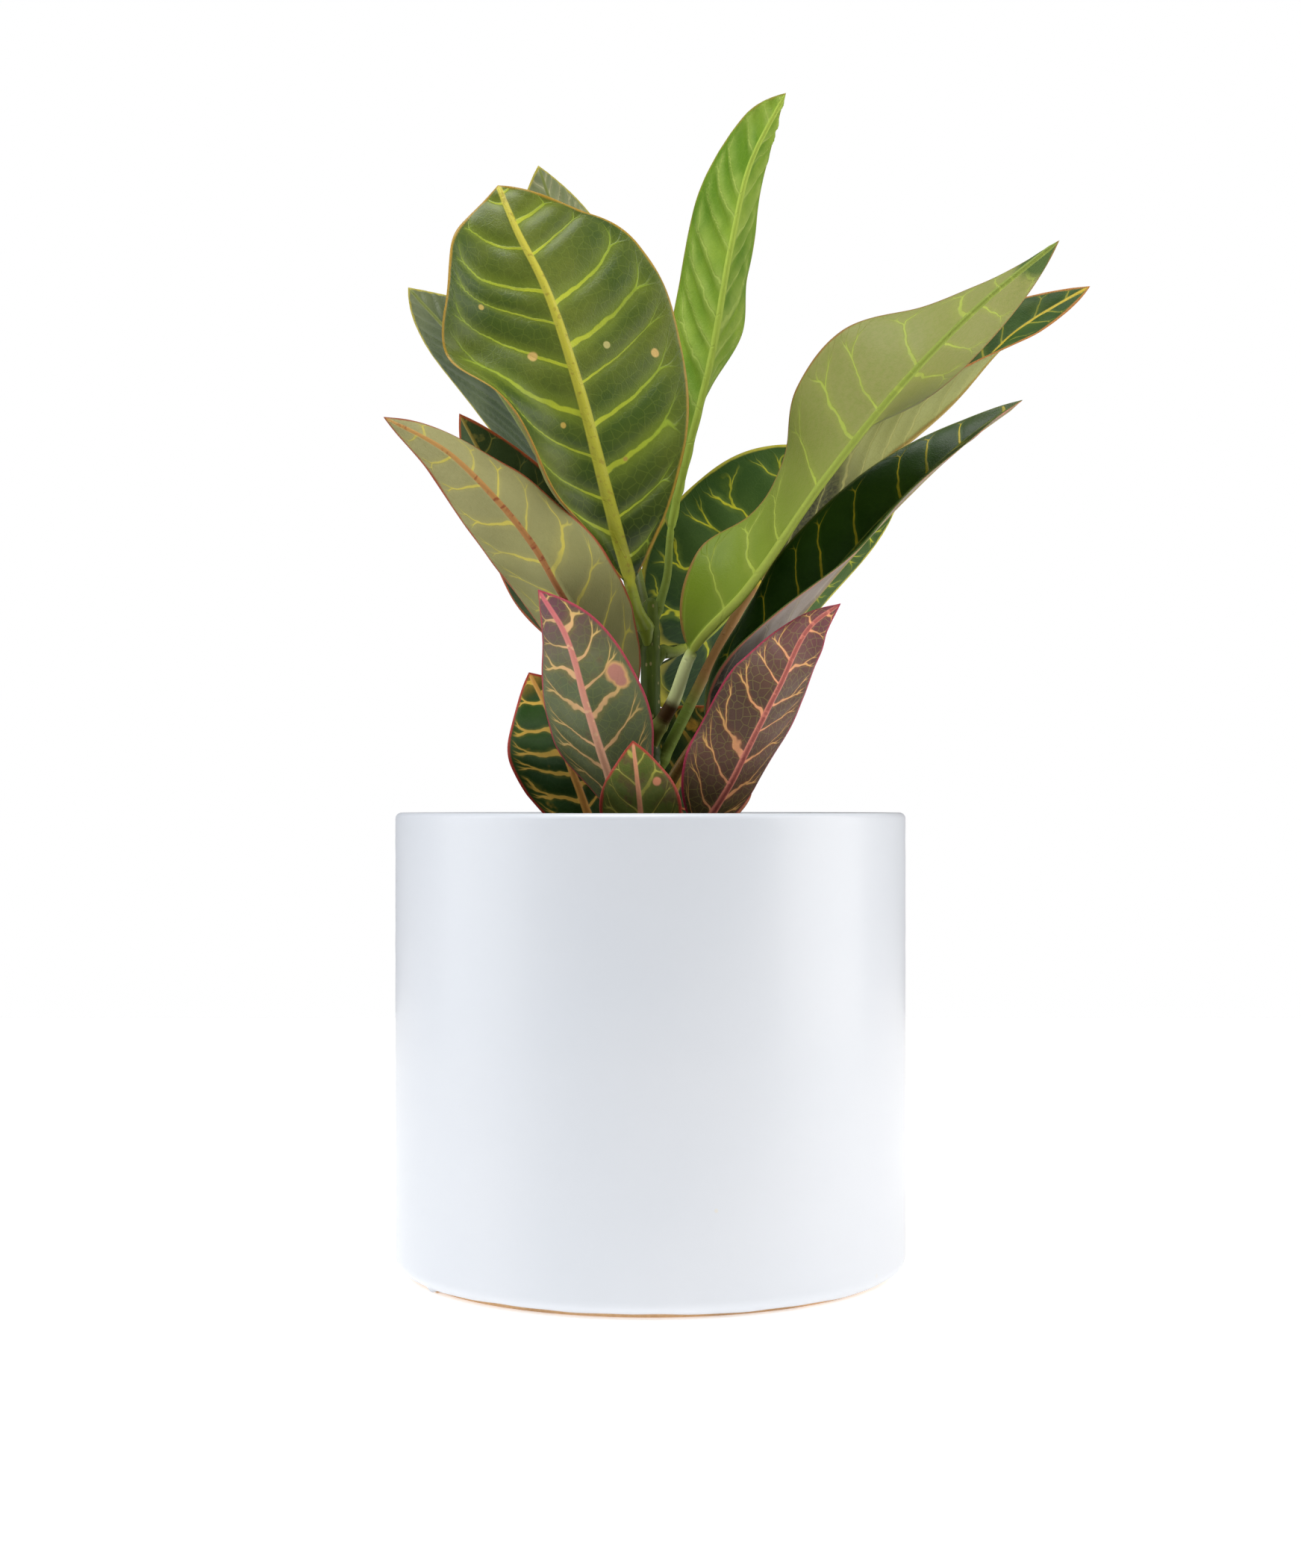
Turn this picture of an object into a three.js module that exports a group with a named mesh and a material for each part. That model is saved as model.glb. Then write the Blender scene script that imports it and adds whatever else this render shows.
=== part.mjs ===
// A young croton with broad waved leaves, growing in a plain round glazed pot.
// Millimetres, +Z up. The origin is the middle of the pot's foot, and the plant is seen from -Y.
import * as THREE from 'three';

// Driving dimensions of the pot
const POT_DIAMETER = 140;
const POT_HEIGHT = 125;
const POT_WALL = 5;
const POT_FLOOR = 8;
const RIM_ROUNDING = 1.6;
const HEEL_ROUNDING = 4;
const FOOT_INSET = 2;
const FOOT_HEIGHT = 1.4;

// Driving dimensions of the soil and the stem
const SOIL_LEVEL = 104;
const SOIL_RELIEF = 1.3;
const STEM_SINK = 42;
const STEM_TOP = 183;
const STEM_THICK = 3.2;
const STEM_THIN = 2.6;
const SHOOT_LENGTH = 11;
const SHOOT_THIN = 1.9;

// Leaves and clearances
const BLADE_THICKNESS = 0.7;
const PETIOLE_THICK = 1.7;
const PETIOLE_THIN = 1.35;
const MIDRIB_DEPTH = 1.1;
const LOBE_SHARE = 0.3;
const CLEARANCE = 0.3;
const TURN_STEPS = 40;

// Colours of the parts
const GLAZE = { color: 0xf1f2f1, roughness: 0.25, metalness: 0 };
const SOIL = { color: 0x3b2b20, roughness: 0.95, metalness: 0 };
const BARK = { color: 0x4f5a32, roughness: 0.7, metalness: 0 };

function mesh(name, geometry, finish) {
  const part = new THREE.Mesh(geometry, new THREE.MeshStandardMaterial(finish));
  part.name = name;
  return part;
}

// Points and triangles to a geometry
function solid(points, triangles) {
  const geometry = new THREE.BufferGeometry();
  const places = points.flatMap((p) => [p.x, p.y, p.z]);
  geometry.setAttribute('position', new THREE.Float32BufferAttribute(places, 3));
  geometry.setIndex(triangles);
  geometry.computeVertexNormals();
  return geometry;
}

// Closed skin over a row of rings that all have the same number of points, with a point at each end
function skin(rings, startPoint, endPoint) {
  const count = rings[0].length;
  const points = rings.flat();
  const start = points.length;
  points.push(startPoint, endPoint);
  const triangles = [];
  for (let r = 0; r + 1 < rings.length; r += 1) {
    for (let k = 0; k < count; k += 1) {
      const next = (k + 1) % count;
      const a = r * count + k;
      const b = r * count + next;
      // The two faces of a blade are split along the same diagonals, or a waved blade would cross itself
      const back = k >= count / 2;
      const c = a + count;
      const d = b + count;
      triangles.push(...(back ? [a, b, c, b, d, c] : [a, b, d, a, d, c]));
    }
  }
  const last = (rings.length - 1) * count;
  for (let k = 0; k < count; k += 1) {
    const next = (k + 1) % count;
    triangles.push(start, next, k);
    triangles.push(start + 1, last + k, last + next);
  }
  return solid(points, triangles);
}

// Pot: a thick cylinder with a small round rim, a rounded heel and a flat unglazed foot set in
function potProfile() {
  const outer = POT_DIAMETER / 2;
  const inner = outer - POT_WALL;
  const arc = (cx, cy, radius, from, to, steps) => Array.from({ length: steps + 1 }, (_, i) => {
    const angle = THREE.MathUtils.degToRad(from + ((to - from) * i) / steps);
    return new THREE.Vector2(cx + radius * Math.cos(angle), cy + radius * Math.sin(angle));
  });
  const foot = outer - HEEL_ROUNDING - FOOT_INSET / 2;
  return [
    new THREE.Vector2(0, 0),
    new THREE.Vector2(foot, 0),
    new THREE.Vector2(foot, FOOT_HEIGHT),
    ...arc(outer - HEEL_ROUNDING, FOOT_HEIGHT + HEEL_ROUNDING, HEEL_ROUNDING, -85, 0, 4),
    ...arc(outer - RIM_ROUNDING, POT_HEIGHT - RIM_ROUNDING, RIM_ROUNDING, 0, 90, 3),
    ...arc(inner + RIM_ROUNDING, POT_HEIGHT - RIM_ROUNDING, RIM_ROUNDING, 90, 180, 3),
    new THREE.Vector2(inner, POT_FLOOR),
    new THREE.Vector2(0, POT_FLOOR),
  ];
}

function pot() {
  const geometry = new THREE.LatheGeometry(potProfile(), TURN_STEPS);
  geometry.rotateX(Math.PI / 2);
  return mesh('pot', geometry, GLAZE);
}

// Radius of the stem at a height: it thins slowly upward, then faster in the young shoot at its top
function stemRadius(z) {
  const foot = SOIL_LEVEL - STEM_SINK;
  const shoot = STEM_TOP - SHOOT_LENGTH;
  if (z < shoot) return THREE.MathUtils.mapLinear(Math.max(z, foot), foot, shoot, STEM_THICK, STEM_THIN);
  return THREE.MathUtils.mapLinear(Math.min(z, STEM_TOP), shoot, STEM_TOP, STEM_THIN, SHOOT_THIN);
}

function circle(radius, z, count, relief = () => 0) {
  return Array.from({ length: count }, (_, k) => {
    const angle = (k / count) * Math.PI * 2;
    const x = radius * Math.cos(angle);
    const y = radius * Math.sin(angle);
    return new THREE.Vector3(x, y, z + relief(x, y));
  });
}

// Soil: the pot's whole filling, lumpy on top, with a plain blind hole that the stem stands in
function soilRelief(x, y) {
  const lumps = Math.sin(x * 0.42 + 1.1) * Math.cos(y * 0.37 - 0.6)
    + 0.6 * Math.sin(x * 0.19 - y * 0.23 + 2.2);
  const edge = Math.min(1, (POT_DIAMETER / 2 - POT_WALL - Math.hypot(x, y)) / 8);
  return SOIL_RELIEF * lumps * Math.max(edge, 0.25);
}

function soil() {
  const steps = TURN_STEPS;
  const hole = STEM_THICK + CLEARANCE;
  const edge = POT_DIAMETER / 2 - POT_WALL - CLEARANCE;
  const bottom = POT_FLOOR + CLEARANCE;
  const holeBottom = SOIL_LEVEL - STEM_SINK - CLEARANCE;
  const rings = [
    circle(edge, bottom, steps),
    ...[edge, 54, 43, 32, 21, 11].map((radius) => circle(radius, SOIL_LEVEL, steps, soilRelief)),
    circle(hole, SOIL_LEVEL, steps),
    circle(hole, holeBottom, steps),
  ];
  const body = skin(rings, new THREE.Vector3(0, 0, bottom), new THREE.Vector3(0, 0, holeBottom));
  return mesh('soil', body, SOIL);
}

// Stem: one upright cane from the root ball to the growing tip, which ends in a small pointed bud
function stem() {
  const foot = SOIL_LEVEL - STEM_SINK;
  const heights = [foot, 90, 108, 116, 125, 134, 142, 149, 158, 168, 175, STEM_TOP - 3.5, STEM_TOP - 1];
  const rings = heights.map((z, i) => {
    const radius = stemRadius(z) * (i === heights.length - 1 ? 0.55 : 1);
    return circle(radius, z, 14);
  });
  const cane = skin(rings, new THREE.Vector3(0, 0, foot), new THREE.Vector3(0, 0, STEM_TOP + 0.5));
  return mesh('stem', cane, BARK);
}

// Smooth curve through values placed at rising knots, with its slope at each value from both neighbours
function smooth(values, knots, at) {
  const last = values.length - 1;
  const slope = (i) => {
    if (i === 0) return (values[1] - values[0]) / (knots[1] - knots[0]);
    if (i === last) return (values[last] - values[last - 1]) / (knots[last] - knots[last - 1]);
    const before = knots[i] - knots[i - 1];
    const after = knots[i + 1] - knots[i];
    const rise = (values[i] - values[i - 1]) / before;
    const climb = (values[i + 1] - values[i]) / after;
    return (rise * after + climb * before) / (before + after);
  };
  let i = 0;
  while (i < last - 1 && at >= knots[i + 1]) i += 1;
  const h = knots[i + 1] - knots[i];
  const x = (at - knots[i]) / h;
  const x2 = x * x;
  const x3 = x2 * x;
  return (2 * x3 - 3 * x2 + 1) * values[i] + (x3 - 2 * x2 + x) * h * slope(i)
    + (3 * x2 - 2 * x3) * values[i + 1] + (x3 - x2) * h * slope(i + 1);
}

// A list of degrees spread evenly from the blade's base to its tip, read at any place between
function spread(list, t) {
  if (list.length === 1) return list[0];
  return smooth(list, list.map((_, i) => i / (list.length - 1)), t);
}

// The line of a leaf: its petiole from the stem, then its midrib to the tip
function leafLine(leaf) {
  const knots = [0];
  leaf.line.forEach((p, i) => {
    if (i) knots.push(knots[i - 1] + Math.hypot(...p.map((v, k) => v - leaf.line[i - 1][k])));
  });
  const columns = [0, 1, 2].map((k) => leaf.line.map((p) => p[k]));
  const point = (s) => new THREE.Vector3(...columns.map((column) => smooth(column, knots, s)));
  return { point, length: knots[knots.length - 1], base: knots[leaf.base] };
}

// Half the blade's width: nothing at the base, full at the widest place, nothing at the tip
function halfWidth(leaf, t) {
  const m = leaf.widest;
  const x = t < m ? (m - t) / m : (t - m) / (1 - m);
  const power = t < m ? (leaf.basePower ?? 2) : (leaf.tipPower ?? 2);
  return leaf.width * (1 - Math.min(x, 1) ** power);
}

// The section of a leaf at one place: "across" points to the viewer's left of the way it grows,
// and "away" points away from the viewer
function frameAt(line, s) {
  const step = 0.5;
  const ahead = line.point(Math.min(s + step, line.length));
  const along = ahead.sub(line.point(Math.max(s - step, 0))).normalize();
  const across = along.clone().cross(new THREE.Vector3(0, 1, 0)).normalize();
  const away = across.clone().cross(along);
  if (away.y < 0) away.negate();
  return { origin: line.point(s), along, across, away };
}

// One half of the blade, as its place in the section (in widths) and the way its front looks.
// Side 1 is the viewer's left half. Degrees turn a half back from the viewer, and cup bends it further
function halfBlade(leaf, side, t, u) {
  const turn = spread(side > 0 ? leaf.left : leaf.right, t);
  const cup = spread(leaf.cup?.[side > 0 ? 0 : 1] ?? [0], t);
  const steps = 12;
  let p = 0;
  let q = 0;
  for (let k = 0; k < steps; k += 1) {
    const angle = THREE.MathUtils.degToRad(turn + cup * u * ((k + 0.5) / steps));
    p += (Math.cos(angle) * u) / steps;
    q += (Math.sin(angle) * u) / steps;
  }
  const angle = THREE.MathUtils.degToRad(turn + cup * u);
  return { p: side * p, q, front: [side * Math.sin(angle), -Math.cos(angle)] };
}

// A ring of points round the leaf at one place: over the front from left to right, and back behind
const ACROSS = [1, 0.56, 'rib', 0, 'rib', 0.56, 1];

function leafRing(leaf, line, s) {
  const { origin, along, across, away } = frameAt(line, s);
  const t = Math.max(0, (s - line.base) / (line.length - line.base));
  const width = s > line.base ? halfWidth(leaf, t) : 0;
  const petiole = THREE.MathUtils.lerp(PETIOLE_THICK, PETIOLE_THIN, Math.min(1, s / line.base));
  const stalk = petiole * (leaf.stalk ?? 1);
  const rib = stalk * (1 - 0.75 * t);
  const join = t > leaf.widest ? 1 : THREE.MathUtils.smoothstep(width, 0, 2.2 * stalk);
  const half = BLADE_THICKNESS / 2;
  const [waveSize, waveCount, wavePhase] = leaf.wave;
  const columns = ACROSS.map((u, k) => {
    const side = k < 3 ? 1 : -1;
    const share = u === 'rib' ? Math.min(rib / Math.max(width, 0.01), 0.4) : u;
    const roll = halfBlade(leaf, side, t, share);
    const phase = 2 * Math.PI * (waveCount * t + wavePhase + (side < 0 ? 0.25 : 0));
    const lift = waveSize * share ** 2 * Math.sin(phase) * Math.min(1, (2 * width) / leaf.width);
    return {
      p: roll.p * width + roll.front[0] * lift,
      q: roll.q * width + roll.front[1] * lift,
      front: roll.front,
      share,
    };
  });
  const left = halfBlade(leaf, 1, t, 0).front;
  const right = halfBlade(leaf, -1, t, 0).front;
  const middle = [left[0] + right[0], left[1] + right[1]];
  const size = Math.hypot(...middle);
  const mitre = Math.min(half * (2 / size), 2.5 * half);
  const underIsBack = leaf.upper === 'front';
  // A lobed base: near the stalk each half also reaches back beside it
  const lobed = 1 - THREE.MathUtils.smoothstep(t, 0.06, LOBE_SHARE);
  const place = (column, k, toFront) => {
    let offset = toFront ? half : -half;
    let front = column.front;
    if (k === 3) {
      front = middle.map((v) => v / size);
      const under = toFront !== underIsBack;
      offset = (toFront ? 1 : -1) * (under ? half + MIDRIB_DEPTH * (1 - 0.7 * t) : mitre);
    }
    const round = THREE.MathUtils.degToRad(12 + 26 * k);
    const circleP = stalk * Math.cos(round);
    const circleQ = stalk * Math.sin(round) * (toFront ? -1 : 1);
    const p = THREE.MathUtils.lerp(circleP, column.p + front[0] * offset, join);
    const q = THREE.MathUtils.lerp(circleQ, column.q + front[1] * offset, join);
    const lobe = (leaf.lobes?.[k < 3 ? 0 : 1] ?? 0) * lobed;
    const back = lobe * column.share ** 2 * join;
    return origin.clone().addScaledVector(across, p).addScaledVector(away, q).addScaledVector(along, -back);
  };
  const over = columns.map((column, k) => place(column, k, true));
  const behind = columns.map((column, k) => place(column, k, false)).reverse();
  return [...over, ...behind].map(clearOfStem);
}

// A petiole is seated against the stem: nothing of it comes nearer than the clearance
function clearOfStem(point) {
  const reach = stemRadius(point.z) + CLEARANCE;
  const distance = Math.hypot(point.x, point.y);
  if (point.z > STEM_TOP + 2 || distance >= reach) return point;
  const grow = reach / Math.max(distance, 0.01);
  return new THREE.Vector3(point.x * grow, point.y * grow, point.z);
}

const PETIOLE_STEPS = 4;
const BASE_STEPS = [0, 0.01, 0.035];
const BLADE_STEPS = 15;

function leafMesh(leaf) {
  const line = leafLine(leaf);
  const stations = [];
  for (let i = 0; i < PETIOLE_STEPS; i += 1) stations.push((line.base * i) / PETIOLE_STEPS);
  for (let i = 0; i < BLADE_STEPS; i += 1) {
    const t = BASE_STEPS[i] ?? 1 - (1 - (i - 2) / (BLADE_STEPS - 2)) ** 1.15;
    stations.push(line.base + t * (line.length - line.base));
  }
  stations.push(line.base + 0.985 * (line.length - line.base));
  const rings = stations.map((s) => leafRing(leaf, line, s));
  const middle = rings[0].reduce((sum, p) => sum.add(p), new THREE.Vector3()).divideScalar(rings[0].length);
  const geometry = skin(rings, clearOfStem(middle), line.point(line.length));
  return mesh(leaf.name, geometry, { color: leaf.color, roughness: 0.4, metalness: 0 });
}

// The leaves, from the top of the stem down. upper: which side of the blade is its upper face; line:
// points of the petiole and midrib; base: which of them the blade starts at; width: half the blade's
// width; widest: how far along that is; basePower and tipPower: how full it is before and after that;
// left and right: degrees that each half is turned back from the viewer, from base to tip; cup: how much
// further it turns towards its edge; wave: size, count and start; stalk: thickness of petiole and rib;
// lobes: how far each half reaches back beside the petiole
const LEAVES = [
  {
    name: 'leaf_tall_centre', color: 0x8fae4a, upper: 'back', base: 2, stalk: 0.75,
    width: 25, widest: 0.62, tipPower: 2.4,
    line: [[2, 2, 181], [4.5, 4.5, 190], [5.5, 6, 202], [10.5, 8, 225], [17, 9, 252], [22.5, 8, 283],
      [28, 6, 306], [37.5, 2, 324]],
    left: [48, 48, 50, 56, 57, 58, 58, 50, 20], right: [97, 97, 97, 88, 71, 77, 77, 78, 90],
    wave: [0.8, 3, 0],
  },
  {
    name: 'leaf_broad_front', color: 0x566b1f, upper: 'front', base: 2, stalk: 1.2,
    width: 33.5, widest: 0.6, tipPower: 2.6,
    line: [[-1.3, -2.9, 175.5], [-4, -6.2, 181], [-5.4, -8, 186.5], [-12, -12, 212], [-20, -15, 242],
      [-29, -15, 268], [-36, -13, 282], [-41.5, -9, 295.5]],
    left: [10], right: [5, 0, 10, 18, 21, 21, 24, 20, 0],
    cup: [[-90, -122, -118, -115, -100, -57, -68, -62, -10], [0]], wave: [1, 2.5, 0.1],
  },
  {
    name: 'leaf_back_upright', color: 0x3f5a2a, upper: 'front', base: 2,
    width: 20, widest: 0.6, tipPower: 3,
    line: [[-1, 2.5, 178], [-2.5, 8, 186], [-4, 14, 194], [-8, 30, 230], [-20, 40, 275], [-33, 42, 315]],
    left: [20, 20, 20], right: [25, 25, 45], wave: [1, 2, 0],
  },
  {
    name: 'leaf_back_left', color: 0x4c6240, upper: 'front', base: 2, width: 20, widest: 0.6, tipPower: 3,
    line: [[-2.5, 1, 171], [-6.5, 5, 181], [-11, 10, 190], [-28, 21, 220], [-46, 28, 249], [-70, 30, 276.5]],
    left: [75, 72, 70, 45], right: [20, 20, 20, 50], wave: [1, 2, 0],
  },
  {
    name: 'leaf_broad_back', color: 0x2c4a1e, upper: 'front', base: 2,
    width: 34, widest: 0.47, basePower: 3, tipPower: 2.3, lobes: [12, 17],
    line: [[3, 1.5, 169.5], [6, 5, 169.5], [9, 11, 171], [13.5, 15, 173.2], [27.5, 25, 187], [52, 38, 208],
      [75.5, 46, 224]],
    left: [0, 0, 5], right: [40, 60, 46], wave: [1, 2, 0],
  },
  {
    name: 'leaf_broad_right', color: 0x93a052, upper: 'back', base: 2, stalk: 1.2,
    width: 26, widest: 0.55, basePower: 5,
    line: [[2, -3, 148], [6, -6, 155], [11, -11, 168], [25.5, -20, 184], [45.5, -31, 212], [68, -40, 239],
      [86.5, -44, 257], [105, -44, 272]],
    left: [0, 25, 60, 62, 34, 30, 58, 68, 80], right: [88, 88, 88, 87, 86, 78, 68, 58, 50],
    cup: [[0], [60, 60, 30, 0, 0, 0]], wave: [0.6, 3, 0],
  },
  {
    name: 'leaf_long_right', color: 0x3c5524, upper: 'front', base: 3, width: 18, widest: 0.5,
    line: [[3, 1, 139], [9.5, 1, 152], [18.5, 2, 170], [29, 5, 188], [56.5, 9, 216], [84.5, 10, 240],
      [101, 8, 258], [122, 4, 271]],
    left: [35, 35, 30, 30, 20], right: [-115, -122, -125, -122, -100, -70, -30], wave: [0.6, 3, 0],
  },
  {
    name: 'leaf_narrow_right', color: 0x2d4a20, upper: 'front', base: 2, width: 16, widest: 0.52,
    basePower: 4,
    line: [[2, -3, 127], [7, -6, 136], [15, -9, 148], [41.5, -14, 180], [65, -16, 206.5], [86, -14, 226],
      [101, -10, 237]],
    left: [15, 33, 36, 25, 25, 31, 40, 40, 36], right: [-140, -130, -112, -98, -89, -88, -88, -88, -88],
    wave: [0.6, 3, 0],
  },
  {
    name: 'leaf_pale_left', color: 0x9aa27a, upper: 'back', base: 2, width: 15.3, widest: 0.4, basePower: 4,
    line: [[-1, -3, 143], [-2.5, -5, 149], [-5, -8, 156], [-15.5, -17, 171], [-22.5, -24, 181.5],
      [-31, -31, 195.5], [-42, -36, 208.5], [-52.5, -36, 218.5], [-69.5, -36, 228]],
    left: [48, 48, 48, 49, 41, 34, 31, 22, 15], right: [25, 15, 8, 3, 29, 40, 47, 40, 20],
    wave: [0.6, 3, 0],
  },
  {
    name: 'leaf_dark_left', color: 0x35482a, upper: 'front', base: 2, width: 17, widest: 0.5,
    line: [[-3, 0, 141], [-5.5, 1, 148], [-8, 1, 155.5], [-25, 0, 185], [-38, -1, 208], [-52.5, -3, 234.5]],
    left: [50, 48, 45, 35], right: [10, 10, 10], wave: [0.6, 3, 0],
  },
  {
    name: 'leaf_spotted_back', color: 0x3a4a1c, upper: 'front', base: 2,
    width: 19, widest: 0.5, basePower: 3,
    line: [[1, 3, 122], [3, 8, 124], [5, 11, 127], [11, 14, 142], [17, 12.5, 155]],
    left: [10, 0, -15], right: [10, 10, 10], wave: [0.6, 2, 0],
  },
  {
    name: 'leaf_low_left_front', color: 0x5c4a38, upper: 'front', base: 2, width: 16, widest: 0.4,
    line: [[-0.5, -3, 118.5], [-2.5, -12, 119.5], [-6.5, -20, 122.5], [-12, -30, 137.5], [-16.5, -34, 152],
      [-22.5, -35, 172], [-29.5, -32, 183.5]],
    left: [58, 57, 49, 45, 46, 45, 40, 34, 45], right: [10, 10, 14, 14, 8, 3, 3, 5, 5], wave: [0.5, 2, 0],
  },
  {
    name: 'leaf_low_right_front', color: 0x6d4244, upper: 'front', base: 2,
    width: 15.5, widest: 0.45, basePower: 3,
    line: [[3, -1, 115], [7.5, -9, 115.5], [12, -18, 119], [20, -27, 130.5], [27.5, -31, 145.5],
      [34, -33, 158.5], [42.5, -32, 174.5], [50, -30, 180]],
    left: [0, 0, 10, 23, 26, 26, 34, 48, 52], right: [58, 58, 61, 62, 61, 59, 51, 33, 40],
    wave: [0.6, 2, 0],
  },
  {
    name: 'leaf_small_front', color: 0x4a4a30, upper: 'front', base: 2, width: 10.5, widest: 0.45,
    line: [[0, -3, 110.5], [-0.5, -20, 110.5], [-1.5, -38, 113], [-2.5, -47, 125], [-3.5, -49, 134.5],
      [-4.5, -47, 143.5]],
    left: [10, 10, 10], right: [10, 10, 10], wave: [0.5, 2, 0],
  },
  {
    name: 'leaf_low_left', color: 0x2f3f22, upper: 'front', base: 2,
    width: 15.5, widest: 0.55, basePower: 2.5,
    line: [[-3, -1, 109.5], [-8, -5, 111], [-13, -11, 116.5], [-20, -18, 133.5], [-26.5, -21, 150.5],
      [-32.5, -20, 162.5]],
    left: [20, 18, 10], right: [20, 20, 20], wave: [0.5, 2, 0],
  },
  {
    name: 'leaf_low_back_left', color: 0x33452a, upper: 'front', base: 2, width: 13, widest: 0.5,
    line: [[-2, 2.5, 122], [-6, 10, 125], [-10, 20, 130], [-13, 35, 149], [-14, 47, 165]],
    left: [15, 15, 15], right: [15, 15, 15], wave: [0.6, 2, 0],
  },
  {
    name: 'leaf_low_back_right', color: 0x33452a, upper: 'front', base: 2, width: 12, widest: 0.5,
    line: [[2.5, 2, 114], [7, 9, 116], [11, 17, 120], [20, 36, 138], [27, 50, 152]],
    left: [15, 15, 15], right: [15, 15, 15], wave: [0.6, 2, 0],
  },
];

const croton = new THREE.Group();
croton.add(pot(), soil(), stem(), ...LEAVES.map(leafMesh));

export default croton;
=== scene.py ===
import math

import bpy
import numpy as np
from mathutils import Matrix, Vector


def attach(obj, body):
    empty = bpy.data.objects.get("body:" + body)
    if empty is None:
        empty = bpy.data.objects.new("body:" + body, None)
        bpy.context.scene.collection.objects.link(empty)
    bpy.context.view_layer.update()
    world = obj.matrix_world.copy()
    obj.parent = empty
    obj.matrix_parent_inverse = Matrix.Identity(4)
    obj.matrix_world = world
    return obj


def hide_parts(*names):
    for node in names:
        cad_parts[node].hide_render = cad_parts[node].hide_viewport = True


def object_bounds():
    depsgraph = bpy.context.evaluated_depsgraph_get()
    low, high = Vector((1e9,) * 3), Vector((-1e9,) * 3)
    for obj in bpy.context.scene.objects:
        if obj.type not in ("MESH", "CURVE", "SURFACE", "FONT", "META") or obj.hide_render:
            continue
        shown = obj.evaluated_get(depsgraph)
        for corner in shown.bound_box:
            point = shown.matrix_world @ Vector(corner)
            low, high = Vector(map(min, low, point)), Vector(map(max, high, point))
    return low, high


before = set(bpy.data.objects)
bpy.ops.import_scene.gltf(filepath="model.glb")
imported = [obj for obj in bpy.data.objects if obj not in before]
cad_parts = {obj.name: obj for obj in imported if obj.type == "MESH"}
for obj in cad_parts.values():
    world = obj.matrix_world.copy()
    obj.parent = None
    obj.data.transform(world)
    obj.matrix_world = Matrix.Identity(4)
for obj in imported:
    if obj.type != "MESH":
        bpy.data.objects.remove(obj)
CAD_LOW, CAD_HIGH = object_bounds()

# View: the photograph's camera, level with the rim of the pot and 64 cm from its axis. The light is a
# white studio: a large soft panel on each side and one overhead, with less light from the front, so that
# the glaze is bright at both sides and softly grey down the middle. The floor is plain and white.
EYE_DISTANCE = 0.638
EYE_HEIGHT = 0.1267
PLANT_MIDDLE = (0, 0, 0.16)
FLOOR_REACH = 0.75

camera = bpy.data.objects.new("camera", bpy.data.cameras.new("camera"))
camera.location = (0, -EYE_DISTANCE, EYE_HEIGHT)
camera.rotation_euler = (math.radians(90), 0, 0)
camera.data.lens = 53.14
camera.data.sensor_width = 36
camera.data.shift_y = 30 / 2100
camera.data.clip_start = 0.01
bpy.context.scene.collection.objects.link(camera)
bpy.context.scene.camera = camera
bpy.context.scene.view_settings.view_transform = "Standard"


def linear(hex_colour):
    """An sRGB hex colour as linear values with full opacity."""
    parts = [int(hex_colour[i:i + 2], 16) / 255 for i in (1, 3, 5)]
    return tuple(p / 12.92 if p <= 0.04045 else ((p + 0.055) / 1.055) ** 2.4 for p in parts) + (1.0,)


def node(tree, kind, at=None, **settings):
    """Adds a shader node with its settings, and values, hex colours or links at its inputs."""
    made = tree.nodes.new("ShaderNode" + kind)
    for key, value in settings.items():
        setattr(made, key, value)
    for place, value in (at or {}).items():
        if isinstance(value, bpy.types.Node):
            value = value.outputs[0]
        if isinstance(value, str):
            value = linear(value)
        if isinstance(value, bpy.types.NodeSocket):
            tree.links.new(value, made.inputs[place])
        else:
            made.inputs[place].default_value = value
    return made


def material(name, **values):
    """A new material with values at its shader's own sockets, and its tree and shader to build on."""
    made = bpy.data.materials.new(name)
    made.use_nodes = True
    shader = made.node_tree.nodes["Principled BSDF"]
    for socket, value in values.items():
        shader.inputs[socket.replace("_", " ")].default_value = value
    return made, made.node_tree, shader


# Each panel's place, width and height, watts and tint
PANELS = {
    "left_panel": ((-1.15, -0.25, 0.45), (1.1, 1.5), 8.3, "#fdfeff"),
    "right_panel": ((1.15, -0.2, 0.45), (1.1, 1.5), 13.0, "#fffbf6"),
    "top_panel": ((-0.15, -0.25, 1.1), (0.7, 0.7), 9.0, "#ffffff"),
    "front_fill": ((0.25, -1.5, 0.75), (0.8, 0.8), 0.3, "#f6f8ff"),
}
for name, (spot, size, power, tint) in PANELS.items():
    light = bpy.data.lights.new(name, "AREA")
    light.shape = "RECTANGLE"
    light.size, light.size_y = size
    light.energy = power
    light.color = linear(tint)[:3]
    panel = bpy.data.objects.new(name, light)
    panel.location = spot
    towards = np.subtract(PLANT_MIDDLE, spot)
    tilt = math.atan2(math.hypot(towards[0], towards[1]), -towards[2])
    panel.rotation_euler = (tilt, 0, math.atan2(towards[1], towards[0]) - math.pi / 2)
    bpy.context.scene.collection.objects.link(panel)

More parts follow.
